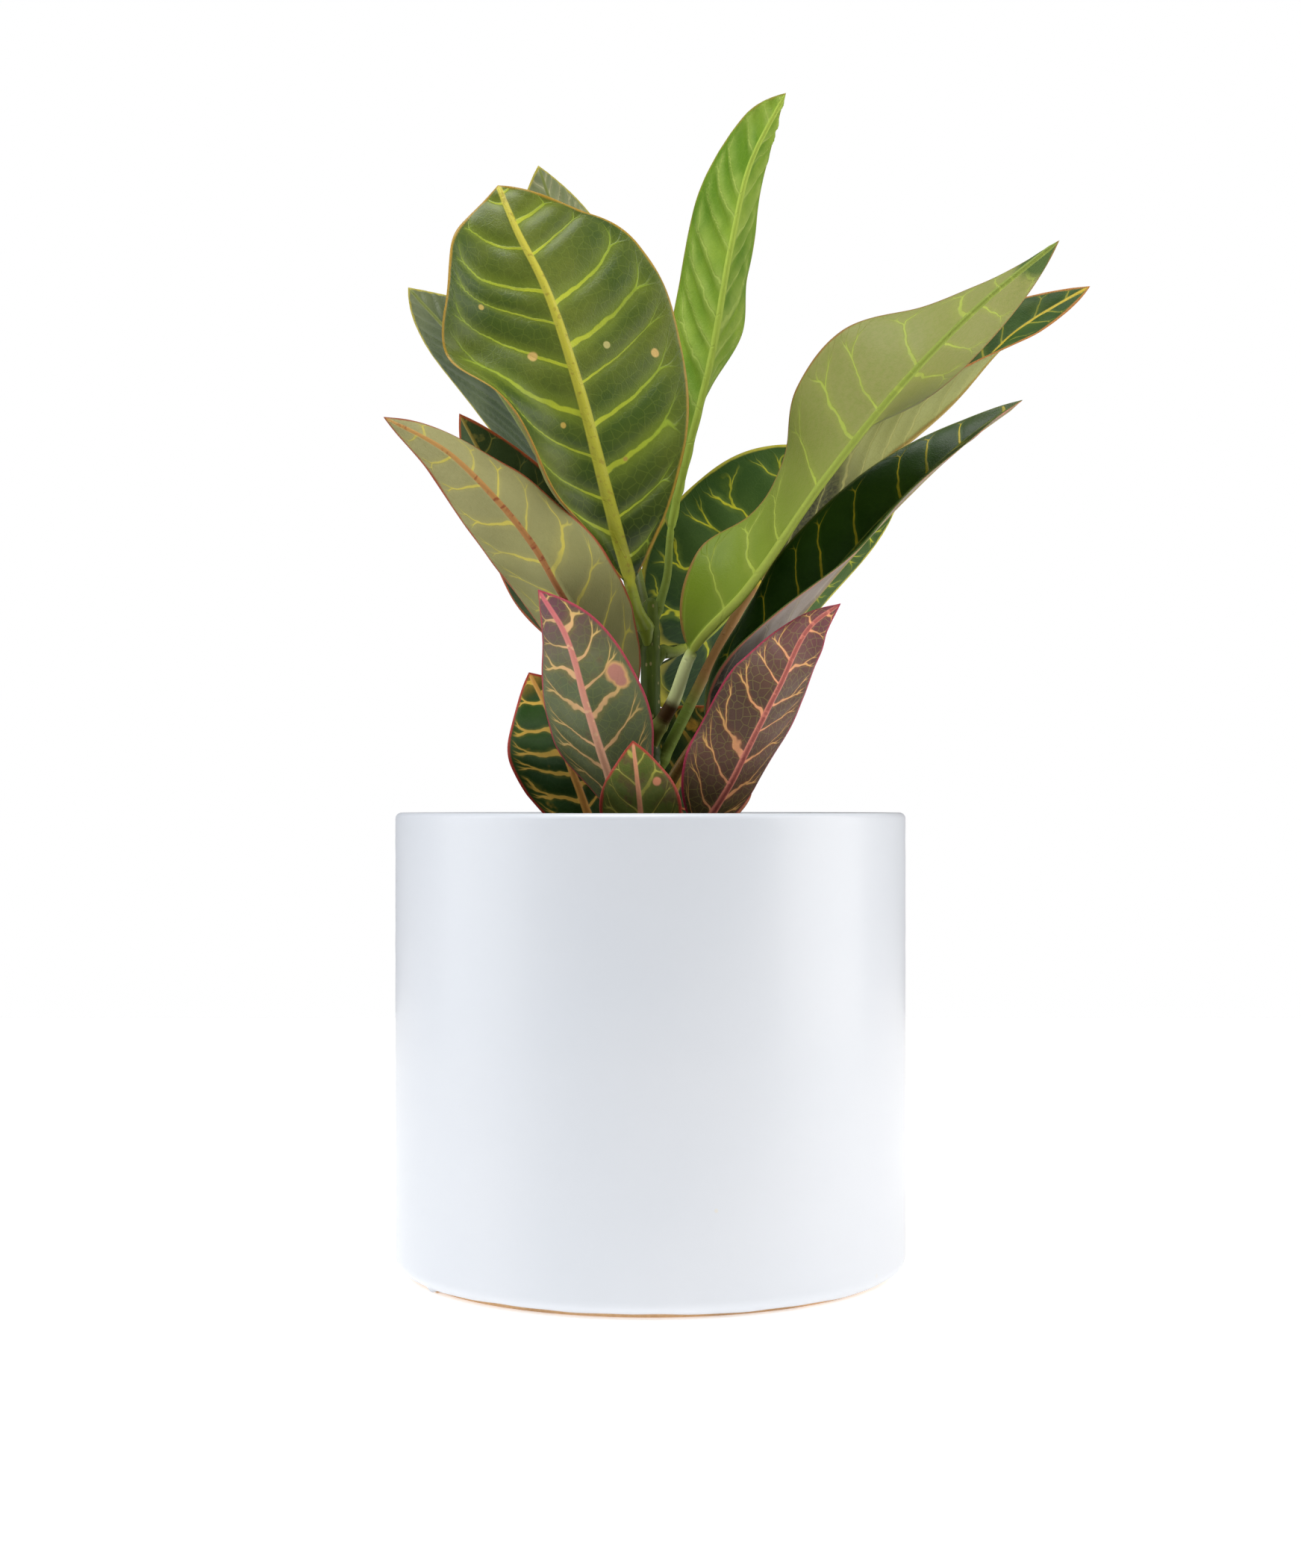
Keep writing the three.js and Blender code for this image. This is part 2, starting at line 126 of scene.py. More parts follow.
# The camera sees plain white behind the object. The light from all round is dimmer at the viewer's side
world = bpy.data.worlds.new("white_studio")
world.use_nodes = True
bpy.context.scene.world = world
tree = world.node_tree
seen = node(tree, "LightPath")
paper = node(tree, "Background", {"Color": "#ffffff", "Strength": 1.0})
facing = node(tree, "SeparateXYZ", {0: node(tree, "TexCoord").outputs["Generated"]})
fall = node(tree, "MapRange", {"Value": facing.outputs["Y"], "From Min": -0.7, "From Max": 0.3,
                               "To Min": 0.1, "To Max": 0.3})
dim = node(tree, "Background", {"Color": "#f7f9ff", "Strength": fall})
both = node(tree, "MixShader", {0: seen.outputs["Is Camera Ray"], 1: dim, 2: paper})
tree.links.new(both.outputs[0], tree.nodes["World Output"].inputs["Surface"])

# Matte paper: white, with a faint light of its own that keeps the pot's shadow soft and pale
matte, _, shader = material("matte_white_paper", Roughness=0.9, Emission_Strength=0.45)
shader.inputs["Base Color"].default_value = linear("#f7f5f2")
shader.inputs["Emission Color"].default_value = linear("#ffffff")
floor_mesh = bpy.data.meshes.new("floor")
floor_corners = [(x * FLOOR_REACH, y * FLOOR_REACH, 0) for x, y in ((-1, -1), (1, -1), (1, 1), (-1, 1))]
floor_mesh.from_pydata(floor_corners, [], [(0, 1, 2, 3)])
floor_mesh.materials.append(matte)
floor = bpy.data.objects.new("floor", floor_mesh)
bpy.context.scene.collection.objects.link(floor)


# Pot: one cast stoneware cylinder, 140 mm across and 125 mm high with a 5 mm wall. It was dipped in a white
# satin glaze that stops in a slightly uneven line above the bare foot, with one small run on the left.
def shape(name, points, faces, materials, slots=None, layers=None):
    """A smooth-shaded object from points in mm, with a material for each face and vectors at its points."""
    mesh = bpy.data.meshes.new(name)
    mesh.from_pydata(np.asarray(points) / 1000, [], faces)
    for skin in materials:
        mesh.materials.append(skin)
    if slots is not None:
        mesh.polygons.foreach_set("material_index", np.asarray(slots, np.int32))
    for layer, values in (layers or {}).items():
        made = mesh.attributes.new(layer, "FLOAT_VECTOR", "POINT")
        made.data.foreach_set("vector", np.asarray(values, np.float32).ravel())
    mesh.shade_smooth()
    mesh.update()
    made = bpy.data.objects.new(name, mesh)
    bpy.context.scene.collection.objects.link(made)
    return made


def stand_for(piece, cad_node):
    """The piece takes the place of a CAD node and rides with the object."""
    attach(piece, "root")
    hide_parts(cad_node)


def ring(radii, turns, heights):
    """Points round the object's axis in mm, at the turns in radians."""
    return np.stack([radii * np.cos(turns), radii * np.sin(turns), heights + 0 * turns], 1)


def band(below, above, spokes):
    """Faces between two rings, each given by the number of its first point."""
    return [(below + j, below + (j + 1) % spokes, above + (j + 1) % spokes, above + j) for j in range(spokes)]


def finish(tree, shader, colour, coats, relief, depth, strength):
    """Lays coats over a colour, each where its mask lets it, and adds a relief too fine for the mesh."""
    for mask, tint in coats:
        colour = node(tree, "Mix", {0: mask, 6: colour, 7: tint}, data_type="RGBA").outputs[2]
    tree.links.new(colour, shader.inputs["Base Color"])
    bump = node(tree, "Bump", {"Height": relief, "Distance": depth, "Strength": strength})
    tree.links.new(bump.outputs[0], shader.inputs["Normal"])


# Satin glaze, dipped and fired: a clear bluish white in clouds 71 mm wide. Its sheen is broken by an
# orange-peel of 2.4 mm, and a few pinholes, 17 mm or more apart, are half a millimetre wide
glaze, tree, shader = material("satin_white_glaze", Roughness=0.36, IOR=1.5, Coat_Weight=0.25,
                               Coat_Roughness=0.2)
spot = node(tree, "TexCoord").outputs["Object"]
cloud = node(tree, "TexNoise", {"Vector": spot, "Scale": 1000 / 71.43, "Detail": 2.0})
pits = node(tree, "TexVoronoi", {"Vector": spot, "Scale": 1000 / 16.667, "Randomness": 1.0})
pit = node(tree, "MapRange", {"Value": pits.outputs["Distance"], "From Min": 0.045, "From Max": 0.02})
rare = node(tree, "TexNoise", {"Vector": spot, "Scale": 1000 / 30.3, "Detail": 0.0})
seldom = node(tree, "MapRange", {"Value": rare, "From Min": 0.62, "From Max": 0.66})
open_pit = node(tree, "Math", {0: pit, 1: seldom}, operation="MINIMUM")
peel = node(tree, "TexNoise", {"Vector": spot, "Scale": 1000 / 2.381, "Detail": 2.0})
coats = [(cloud, "#d7dae0"), (open_pit, "#d6d3cb")]
finish(tree, shader, linear("#cbd1d9"), coats, peel, 0.00006, 0.35)

# Bare stoneware, fired clay: tan, dry and sandy in grains of 1.1 mm, and darker in patches of 25 mm where it
# was wiped. Real grains are finer, and are drawn this coarse to show
bisque, tree, shader = material("bare_stoneware", Roughness=0.85)
spot = node(tree, "TexCoord").outputs["Object"]
sand = node(tree, "TexNoise", {"Vector": spot, "Scale": 1000 / 1.111, "Detail": 3.0})
stain = node(tree, "TexNoise", {"Vector": spot, "Scale": 1000 / 25, "Detail": 2.0})
wiped = node(tree, "MapRange", {"Value": stain, "From Min": 0.45, "From Max": 0.7, "To Max": 0.6})
finish(tree, shader, linear("#b98f63"), [(sand, "#dfbd93"), (wiped, "#8d6b48")], sand, 0.0002, 0.6)

# The pot's height, outer and inner radius, roundings of rim and heel, and inner floor, all in mm
POT_TOP = 125.0
OUTSIDE = 69.9
INSIDE = 65.0
LIP = 1.6
HEEL = 3.9
INSIDE_FLOOR = 8.0
GLAZE_LINE = 1.15
POT_SPOKES = 288


def arc(cx, cz, radius, first, last, steps):
    """Points of an arc in the pot's section, from one angle in degrees to another."""
    turns = np.radians(np.linspace(first, last, steps))
    return [(cx + radius * math.cos(a), cz + radius * math.sin(a)) for a in turns]


# Half of the section, as radius and height: from the middle underneath, up the outside and down the inside
section = [(0.0, 1.0), (30.0, 1.0), (56.0, 0.9), (58.5, 0.0), (61.0, 0.0), (64.0, 0.0)]
section += [(65.0, 0.15), (65.6, 0.5), (66.0, GLAZE_LINE - 0.2), (66.2, GLAZE_LINE)]
BARE_ROWS = len(section) - 1
section += arc(OUTSIDE - HEEL, 4.95, HEEL, -80, 0, 9)
section += [(OUTSIDE, z) for z in np.linspace(9, 121, 29)]
section += arc(OUTSIDE - LIP, POT_TOP - LIP, LIP, 4, 90, 14)
section += arc(INSIDE + LIP, POT_TOP - LIP, LIP, 90, 176, 14)
section += [(INSIDE, z) for z in np.linspace(120, 12, 20)]
section += arc(INSIDE - 4.0, 12.0, 4.0, 0, -90, 6)
section += [(40.0, INSIDE_FLOOR), (0.0, INSIDE_FLOOR)]

# The glaze's lower edge wanders a little, and hangs lower and thicker at the run. The wall has faint rings
turns = np.linspace(0, 2 * np.pi, POT_SPOKES, endpoint=False)
from_run = np.angle(np.exp(1j * (turns - math.atan2(-36, -56))))
wander = 0.16 * np.sin(3 * turns + 1) + 0.1 * np.sin(11 * turns) + 0.05 * np.sin(29 * turns + 2)
run = 0.9 * np.exp(-(from_run / 0.012) ** 2)
pot_rings = []
for r, z in section:
    edge = math.exp(-((z - GLAZE_LINE) / 0.9) ** 2) if z < 4 and r > 65.5 else 0.0
    swell = 0.3 * edge * np.exp(-(from_run / 0.014) ** 2)
    faint = 0.05 * np.sin(z * 0.9) * np.sin(z * 0.23 + turns) if 8 < z < 118 and r > 69 else 0.0
    radii = np.where(r > 0, r + swell + faint, 0.0)
    pot_rings.append(ring(radii, turns, z + edge * (wander - run)))
pot_rings[0] = pot_rings[0][:1]
pot_rings[-1] = pot_rings[-1][:1]
starts = np.cumsum([0] + [len(points) for points in pot_rings])
pot_faces = []
for k in range(len(pot_rings) - 1):
    rows = band(starts[k], starts[k + 1], POT_SPOKES)
    if k == 0:
        rows = [(0, c, d) for _, _, c, d in rows]
    elif k == len(pot_rings) - 2:
        rows = [(a, b, starts[k + 1]) for a, b, _, _ in rows]
    pot_faces += rows
pot_slots = [1] * BARE_ROWS * POT_SPOKES + [0] * (len(pot_faces) - BARE_ROWS * POT_SPOKES)
pot = shape("glazed_pot", np.concatenate(pot_rings), pot_faces, [glaze, bisque], pot_slots)
stand_for(pot, "pot")


# Soil: a loose mix of composted bark, peat and perlite that fills the pot to 21 mm below the rim. It was
# poured in and pressed round the stem. Its top is uneven, with chips, crumbs and a few white grains on it.
def potting(name, dark, light, grain_mm, roughness):
    """One ingredient of the mix: two tones in grains of a real size, dry and dull."""
    made, tree, shader = material(name, Roughness=roughness)
    spot = node(tree, "TexCoord").outputs["Object"]
    grains = node(tree, "TexNoise", {"Vector": spot, "Scale": 1000 / grain_mm, "Detail": 4.0,
                                     "Roughness": 0.7})
    span = node(tree, "MapRange", {"Value": grains, "From Min": 0.35, "From Max": 0.65})
    finish(tree, shader, linear(dark), [(span, light)], grains, 0.0008, 0.8)
    return made


# The level of the soil, its radius and the lowest point of the piece, all in mm
SOIL_LEVEL = 104.0
SOIL_RADIUS = 64.7
SOIL_FOOT = 62.0
SOIL_SPOKES = 180
rng = np.random.default_rng(7)
soil_radii = [0.0] + list(np.linspace(1.5, SOIL_RADIUS, 70))
soil_turns = np.linspace(0, 2 * np.pi, SOIL_SPOKES, endpoint=False)
soil_rings = []
for r in soil_radii:
    x, y = r * np.cos(soil_turns), r * np.sin(soil_turns)
    lumps = np.sin(x * 0.42 + 1.1) * np.cos(y * 0.37 - 0.6) + 0.6 * np.sin(x * 0.19 - y * 0.23 + 2.2)
    fine = 0.35 * np.sin(x * 2.1 + 3 * np.sin(y * 1.3)) * np.sin(y * 1.9 + 2 * np.sin(x * 0.9))
    grain = rng.normal(0, 0.28, SOIL_SPOKES) if r > 0 else 0.0
    z = SOIL_LEVEL + 0.8 * lumps + fine + grain
    soil_rings.append(ring(r, soil_turns, np.clip(z, 100, 106)))
soil_points = np.concatenate(soil_rings)
soil_points[:SOIL_SPOKES] = soil_points[:SOIL_SPOKES].mean(0)
soil_faces = [(0, d, c) for _, _, c, d in band(0, SOIL_SPOKES, SOIL_SPOKES)]
for k in range(1, len(soil_radii) - 1):
    rows = band(k * SOIL_SPOKES, (k + 1) * SOIL_SPOKES, SOIL_SPOKES)
    soil_faces += [(a, d, c, b) for a, b, c, d in rows]
soil_slots = [0] * len(soil_faces)

# Chips, crumbs and grains lie on it: small eight-sided bits, flatter for bark, turned and tipped by chance
CORNERS = np.array([(1, 0, 0), (-1, 0, 0), (0, 1, 0), (0, -1, 0), (0, 0, 1), (0, 0, -1)], float)
SIDES = [(0, 2, 4), (2, 1, 4), (1, 3, 4), (3, 0, 4), (2, 0, 5), (1, 2, 5), (3, 1, 5), (0, 3, 5)]
FLATNESS = {1: (1, 0.55, 0.32), 2: (1, 0.9, 0.7), 3: (1, 0.9, 0.85)}
BITS = 900
bit_points = []
first = len(soil_points)
for i in range(BITS):
    reach = SOIL_RADIUS * math.sqrt(rng.random()) * 0.97
    if reach < 5:
        continue
    turn = rng.random() * 2 * np.pi
    kind = rng.choice([1, 2, 3], p=[0.42, 0.46, 0.12])
    size = {1: rng.uniform(1.4, 4.2), 2: rng.uniform(0.6, 1.5), 3: rng.uniform(0.7, 1.6)}[kind]
    bit = CORNERS * FLATNESS[kind] * size * rng.uniform(0.75, 1.2, (6, 3))
    bit += rng.normal(0, 0.08 * size, (6, 3))
    a, b = rng.random() * 2 * np.pi, rng.normal(0, 0.5)
    spin = np.array([[math.cos(a), -math.sin(a), 0], [math.sin(a), math.cos(a), 0], [0, 0, 1]])
    tilt = np.array([[1, 0, 0], [0, math.cos(b), -math.sin(b)], [0, math.sin(b), math.cos(b)]])
    reach = min(reach, SOIL_RADIUS - size - 0.3)
    place = np.array([reach * math.cos(turn), reach * math.sin(turn), SOIL_LEVEL + rng.uniform(0.2, 0.9)])
    bit_points.append(bit @ (spin @ tilt).T + place)
    soil_faces += [tuple(first + v for v in face) for face in SIDES]
    soil_slots += [kind] * len(SIDES)
    first += len(CORNERS)

# A turned edge closes the sheet of crumbs down along the wall
rim = len(soil_points) - SOIL_SPOKES
wall_points = [(p[0], p[1], SOIL_FOOT) for p in soil_points[rim:]] + [(0, 0, SOIL_FOOT)]
for a, b, c, d in band(rim, first, SOIL_SPOKES):
    soil_faces += [(a, d, c, b), (first + SOIL_SPOKES, c, d)]
    soil_slots += [0, 0]
soil_points = np.concatenate([soil_points, *bit_points, np.array(wall_points)])
mix = [
    potting("damp_peat", "#1d130d", "#3d2a1d", 1.2, 0.95),
    potting("composted_bark", "#3a2416", "#75502f", 2.5, 0.85),
    potting("peat_crumbs", "#24170f", "#4a3423", 0.8, 0.95),
    potting("perlite", "#cfcabf", "#f2efe8", 0.6, 0.8),
]
soil = shape("potting_soil", soil_points, soil_faces, mix, soil_slots)
stand_for(soil, "soil")

# Stem: one upright cane, 6 mm thick at the soil and 5 mm near the top, still green, which stands in the
# soil. It swells slightly where each petiole sits, and its lower part is turning to dull brown bark.

# Green bark, grown: shallow streaks 1.1 mm wide and 7 mm long, and pale dots 2 mm apart
stem_skin, tree, shader = material("green_cane_bark", Roughness=0.5, Specular_IOR_Level=0.2)
spot = node(tree, "TexCoord").outputs["Object"]
height = node(tree, "SeparateXYZ", {0: spot}).outputs["Z"]
streak_place = node(tree, "Mapping", {"Vector": spot, "Scale": (1.0, 1.0, 0.16)})
streaks = node(tree, "TexNoise", {"Vector": streak_place, "Scale": 1000 / 1.111, "Detail": 3.0})
young = node(tree, "MapRange", {"Value": height, "From Min": 0.15, "From Max": 0.182})
old = node(tree, "MapRange", {"Value": height, "From Min": 0.135, "From Max": 0.108})
fibre = node(tree, "MapRange", {"Value": streaks, "From Min": 0.4, "From Max": 0.7, "To Max": 0.5})
dot_place = node(tree, "Mapping", {"Vector": spot, "Scale": (1.0, 1.0, 0.6)})
dots = node(tree, "TexVoronoi", {"Vector": dot_place, "Scale": 1000 / 2})
pale = node(tree, "MapRange", {"Value": dots.outputs["Distance"], "From Min": 0.2, "From Max": 0.12})
coats = [(young, "#5c6d22"), (old, "#4d3f28"), (fibre, "#26330c"), (pale, "#8a8255")]
finish(tree, shader, linear("#33450f"), coats, streaks, 0.0003, 0.5)

# Height and radius in mm where the cane comes from the soil, where the young shoot begins, and at its top
STEM_HEIGHTS = [63.0, 172.0, 183.0]
STEM_RADII = [3.2, 2.6, 1.9]
JOINT_HEIGHTS = [110.0, 114.0, 118.5, 122.0, 127.0, 139.0, 141.5, 148.0, 169.5, 174.5, 178.0]
STEM_SPOKES = 40
STEM_FOOT, STEM_TOP = STEM_HEIGHTS[0], STEM_HEIGHTS[-1]
around = np.linspace(0, 2 * np.pi, STEM_SPOKES, endpoint=False)
stem_rings = []
for z in np.concatenate([np.arange(STEM_FOOT, STEM_TOP, 0.6), [STEM_TOP]]):
    joint = sum(0.22 * math.exp(-((z - h) / 1.1) ** 2) for h in JOINT_HEIGHTS)
    scar = sum(0.12 * math.exp(-((z - h - 1.6) / 0.35) ** 2) for h in JOINT_HEIGHTS)
    furrow = 0.06 * np.sin(5 * around + z * 0.02) + 0.03 * np.sin(13 * around + z * 0.05)
    stem_rings.append(ring(np.interp(z, STEM_HEIGHTS, STEM_RADII) + joint - scar + furrow, around, z))
for share, z in ((0.75, 183.6), (0.4, 184.1)):
    stem_rings.append(ring(STEM_RADII[-1] * share, around, z))
last = len(stem_rings) * STEM_SPOKES
stem_points = np.concatenate([*stem_rings, [(0, 0, STEM_FOOT), (0, 0, 184.3)]])
stem_faces = []
for k in range(len(stem_rings) - 1):
    stem_faces += band(k * STEM_SPOKES, (k + 1) * STEM_SPOKES, STEM_SPOKES)
for a, b, c, d in band(0, last - STEM_SPOKES, STEM_SPOKES):
    stem_faces += [(last, b, a), (last + 1, d, c)]
stem = shape("green_stem", stem_points, stem_faces, [stem_skin])
stand_for(stem, "stem")


# Leaf, tall, centre: a young leaf that stands up nearly straight and shows the viewer its underside, pale
# green with a light midrib. Like every leaf here it grew as one piece: petiole, midrib and waved blade.
SOFT = {"interpolation_type": "SMOOTHSTEP"}


def leaf_face(name, look):
    """The skin of one side of a leaf: waxy tissue with its veins, edge and blotches drawn by growth."""
    made, tree, shader = material(
        name, Roughness=look["roughness"], IOR=1.45, Specular_IOR_Level=look.get("gloss", 0.2),
        Coat_Weight=look.get("wax", 0.0), Coat_Roughness=0.3,
    )
    here = node(tree, "Attribute", attribute_name="leaf_mm").outputs["Vector"]
    run, beside, share = node(tree, "SeparateXYZ", {0: here}).outputs
    place = node(tree, "VectorMath", {0: here, 1: (look["grown"], 0.3 * look["grown"], 0)}).outputs[0]
    veins = node(tree, "Attribute", attribute_name="leaf_veins").outputs["Vector"]
    lateral, edge, across = node(tree, "SeparateXYZ", {0: veins}).outputs

    # Growth is uneven: clouds of 22 mm, gaps of 9 mm, a wobble of 6 mm, flecks of 1.7 mm, and pores, which
    # are drawn as coarse as 0.5 mm to show
    cloud, gaps, wobble, flecks, pores = (
        node(tree, "TexNoise", {"Vector": place, "Scale": 1 / mm, "Detail": 2.0})
        for mm in (22.222, 9.0909, 6.25, 1.6667, 0.45455)
    )

    # Tissue: two tones in those clouds, a second colour that flushes through in blotches or turns towards an
    # end, where on two leaves it is painted shade at the foot, and mottling of 1 mm
    soft = node(tree, "MapRange", {"Value": cloud, "From Min": 0.36, "From Max": 0.64})
    coats = [(soft, look["ground"][1])]
    if "flush" in look:
        tint, amount, size, start = look["flush"]
        patch = node(tree, "TexNoise", {"Vector": place, "Scale": 1 / size, "Detail": 3.0, "Roughness": 0.6})
        spread = node(tree, "MapRange", {"Value": patch, "From Min": start, "From Max": start + 0.1,
                                         "To Max": amount}, **SOFT)
        coats.append((spread, tint))
    for end in ("foot", "tip"):
        if end in look:
            tint, first, last = look[end]
            turning = node(tree, "MapRange", {"Value": share, "From Min": first, "From Max": last}, **SOFT)
            coats.append((turning, tint))
    mottle = node(tree, "TexNoise", {"Vector": place, "Scale": 1 / 1.1111, "Detail": 3.0, "Roughness": 0.7})
    dull = node(tree, "MapRange", {"Value": mottle, "From Min": 0.4, "From Max": 0.75, "To Max": 0.34})
    coats.append((dull, look["ground"][0]))

    # Laterals: they leave the midrib every spacing mm, wander, thin out and fork before they reach the edge
    cycle = node(tree, "Math", {0: lateral}, operation="FRACT")
    centred = node(tree, "Math", {0: cycle, 1: -0.5}, operation="ADD")
    offset = node(tree, "Math", {0: centred, 1: look["spacing"] * 0.85}, operation="MULTIPLY")
    zigzag = look.get("zigzag", 2.6)
    bent = node(tree, "Math", {0: wobble, 1: zigzag, 2: -zigzag / 2}, operation="MULTIPLY_ADD")
    moved = node(tree, "Math", {0: offset, 1: bent}, operation="ADD")
    distance = node(tree, "Math", {0: moved}, operation="ABSOLUTE")
    fork_from = look.get("fork", 0.6)
    for first, wide in ((fork_from, 0.24), (0.45 + fork_from * 0.5, 0.11)):
        fork = node(tree, "MapRange", {"Value": across, "From Min": first, "From Max": 1.0,
                                       "To Max": look["spacing"] * wide}, interpolation_type="SMOOTHERSTEP")
        forked = node(tree, "Math", {0: distance, 1: fork}, operation="SUBTRACT")
        distance = node(tree, "Math", {0: forked}, operation="ABSOLUTE")
    vein_tint, vein_width, vein_amount, broken = look["vein"]
    thin = node(tree, "MapRange", {"Value": across, "From Min": 0.0, "From Max": 0.85,
                                   "To Min": vein_width, "To Max": vein_width * 0.3})
    beyond = node(tree, "Math", {0: distance, 1: thin}, operation="SUBTRACT")
    line = node(tree, "MapRange", {"Value": beyond, "From Min": 0.2, "From Max": -0.08}, **SOFT)
    unbroken = node(tree, "MapRange", {"Value": gaps, "From Min": 0.38, "From Max": 0.56,
                                       "To Min": vein_amount * (1 - broken), "To Max": vein_amount})
    reach = node(tree, "MapRange", {"Value": across, "From Min": 0.94, "From Max": 0.76}, **SOFT)
    kept = node(tree, "Math", {0: unbroken, 1: reach}, operation="MULTIPLY")
    drawn = node(tree, "Math", {0: line, 1: kept}, operation="MULTIPLY")
    vein_colour = node(tree, "Mix", {0: across, 6: vein_tint, 7: look.get("vein_tip", vein_tint)},
                       data_type="RGBA")
    halo_tint, halo_width, halo_amount = look["halo"]
    near = node(tree, "MapRange", {"Value": beyond, "From Min": halo_width, "From Max": 0.0,
                                   "To Max": halo_amount}, **SOFT)
    halo = node(tree, "Math", {0: near, 1: kept}, operation="MULTIPLY")

    # Net: the smallest veins, in cells of 2 to 3 mm between the laterals
    net_tint, net_cell, net_amount = look["net"]
    flat = node(tree, "CombineXYZ", {0: run, 1: beside})
    cells = node(tree, "TexVoronoi", {"Vector": flat, "Scale": 1 / net_cell}, feature="DISTANCE_TO_EDGE",
                 voronoi_dimensions="2D")
    net = node(tree, "MapRange", {"Value": cells.outputs["Distance"], "From Min": 0.075, "From Max": 0.02,
                                  "To Max": net_amount})
    coats += [(halo, halo_tint), (net, net_tint), (drawn, vein_colour.outputs[2])]

    # Blotches at their own places, in mm along the midrib and beside it
    for spot_run, spot_side, spot_size, spot_tint in look.get("spots", []):
        from_spot = node(tree, "VectorMath", {0: flat, 1: (spot_run, spot_side, 0)}, operation="DISTANCE")
        ragged = node(tree, "Math", {0: from_spot.outputs["Value"], 1: bent}, operation="ADD")
        inside = node(tree, "MapRange", {"Value": ragged, "From Min": spot_size, "From Max": spot_size * 0.7})
        coats.append((inside, spot_tint))

    # Midrib, with a darker groove and flecks on some leaves, and the coloured line along the edge
    rib_tint, rib_width = look["midrib"]
    sideways = node(tree, "Math", {0: beside}, operation="ABSOLUTE")
    rib_edge = node(tree, "MapRange", {"Value": share, "To Min": rib_width, "To Max": rib_width * 0.3})
    off_rib = node(tree, "Math", {0: sideways, 1: rib_edge}, operation="SUBTRACT")
    rib = node(tree, "MapRange", {"Value": off_rib, "From Min": 0.3, "From Max": -0.1}, **SOFT)
    rib_colour = node(tree, "Mix", {0: share, 6: rib_tint, 7: look.get("midrib_tip", rib_tint)},
                      data_type="RGBA").outputs[2]
    if "groove" in look:
        groove = node(tree, "MapRange", {"Value": sideways, "From Min": 0.55, "From Max": 0.15,
                                         "To Max": 0.75})
        rib_colour = node(tree, "Mix", {0: groove, 6: rib_colour, 7: look["groove"]},
                          data_type="RGBA").outputs[2]
    fleck = node(tree, "MapRange", {"Value": flecks, "From Min": 0.58, "From Max": 0.68, "To Max": 0.7})
    rib_colour = node(tree, "Mix", {0: fleck, 6: rib_colour, 7: look.get("rib_fleck", rib_tint)},
                      data_type="RGBA").outputs[2]
    edge_tint, edge_width = look["margin"]
    patchy = node(tree, "MapRange", {"Value": gaps, "From Min": 0.3, "From Max": 0.5,
                                     "To Min": edge_width * 0.3, "To Max": edge_width})
    inwards = node(tree, "Math", {0: edge, 1: patchy}, operation="SUBTRACT")
    border = node(tree, "MapRange", {"Value": inwards, "From Min": 0.4, "From Max": -0.1})
    coats += [(rib, rib_colour), (border, edge_tint)]

    # Petiole: its own colour, which turns towards the stem, with a dark knuckle on some leaves
    upper_tint, lower_tint = look["petiole"]
    turn_from, turn_to = look.get("petiole_turn", (-3.0, -look["petiole_mm"]))
    down = node(tree, "MapRange", {"Value": run, "From Min": turn_from, "From Max": turn_to})
    stalk = node(tree, "Mix", {0: down, 6: upper_tint, 7: lower_tint}, data_type="RGBA")
    if "petiole_joint" in look:
        joint_tint, joint_run, joint_size = look["petiole_joint"]
        off_joint = node(tree, "Math", {0: run, 1: joint_run}, operation="SUBTRACT")
        off_joint = node(tree, "Math", {0: off_joint}, operation="ABSOLUTE")
        knuckle = node(tree, "MapRange", {"Value": off_joint, "From Min": joint_size,
                                          "From Max": joint_size * 0.3}, **SOFT)
        stalk = node(tree, "Mix", {0: knuckle, 6: stalk.outputs[2], 7: joint_tint}, data_type="RGBA")
    on_stalk = node(tree, "MapRange", {"Value": run, "From Min": 1.5, "From Max": -1.5})
    coats.append((on_stalk, stalk.outputs[2]))

    # The coats go over the tissue's first tone in this order. Pores, the net and the laterals stand out or
    # sink by a tenth of a millimetre
    lines = node(tree, "Math", {0: line, 1: net}, operation="MAXIMUM")
    raised = node(tree, "Math", {0: lines, 1: look["relief"], 2: pores}, operation="MULTIPLY_ADD")
    finish(tree, shader, linear(look["ground"][0]), coats, raised, 0.00016, 0.5)
    return made


def smooth_line(values, knots, at):
    """Smooth curve through values placed at rising knots, read at several places."""
    values = np.asarray(values, float)
    steps = np.diff(knots)
    rises = np.diff(values, axis=0) / (steps[:, None] if values.ndim > 1 else steps)
    slopes = np.empty_like(values)
    slopes[0], slopes[-1] = rises[0], rises[-1]
    for i in range(1, len(values) - 1):
        slopes[i] = (rises[i - 1] * steps[i] + rises[i] * steps[i - 1]) / (steps[i - 1] + steps[i])
    i = np.clip(np.searchsorted(knots, at, side="right") - 1, 0, len(values) - 2)
    h = steps[i]
    x = (at - knots[i]) / h
    if values.ndim > 1:
        h, x = h[:, None], x[:, None]
    start = (2 * x**3 - 3 * x**2 + 1) * values[i] + (x**3 - 2 * x**2 + x) * h * slopes[i]
    return start + (3 * x**2 - 2 * x**3) * values[i + 1] + (x**3 - x**2) * h * slopes[i + 1]


def evenly(listed, at):
    """A list of degrees spread evenly along the blade, read at several places."""
    if len(listed) == 1:
        return np.full(len(at), float(listed[0]))
    return smooth_line(listed, np.linspace(0, 1, len(listed)), at)


def eased(x):
    """A smooth step from 0 to 1."""
    x = np.clip(x, 0, 1)
    return x * x * (3 - 2 * x)


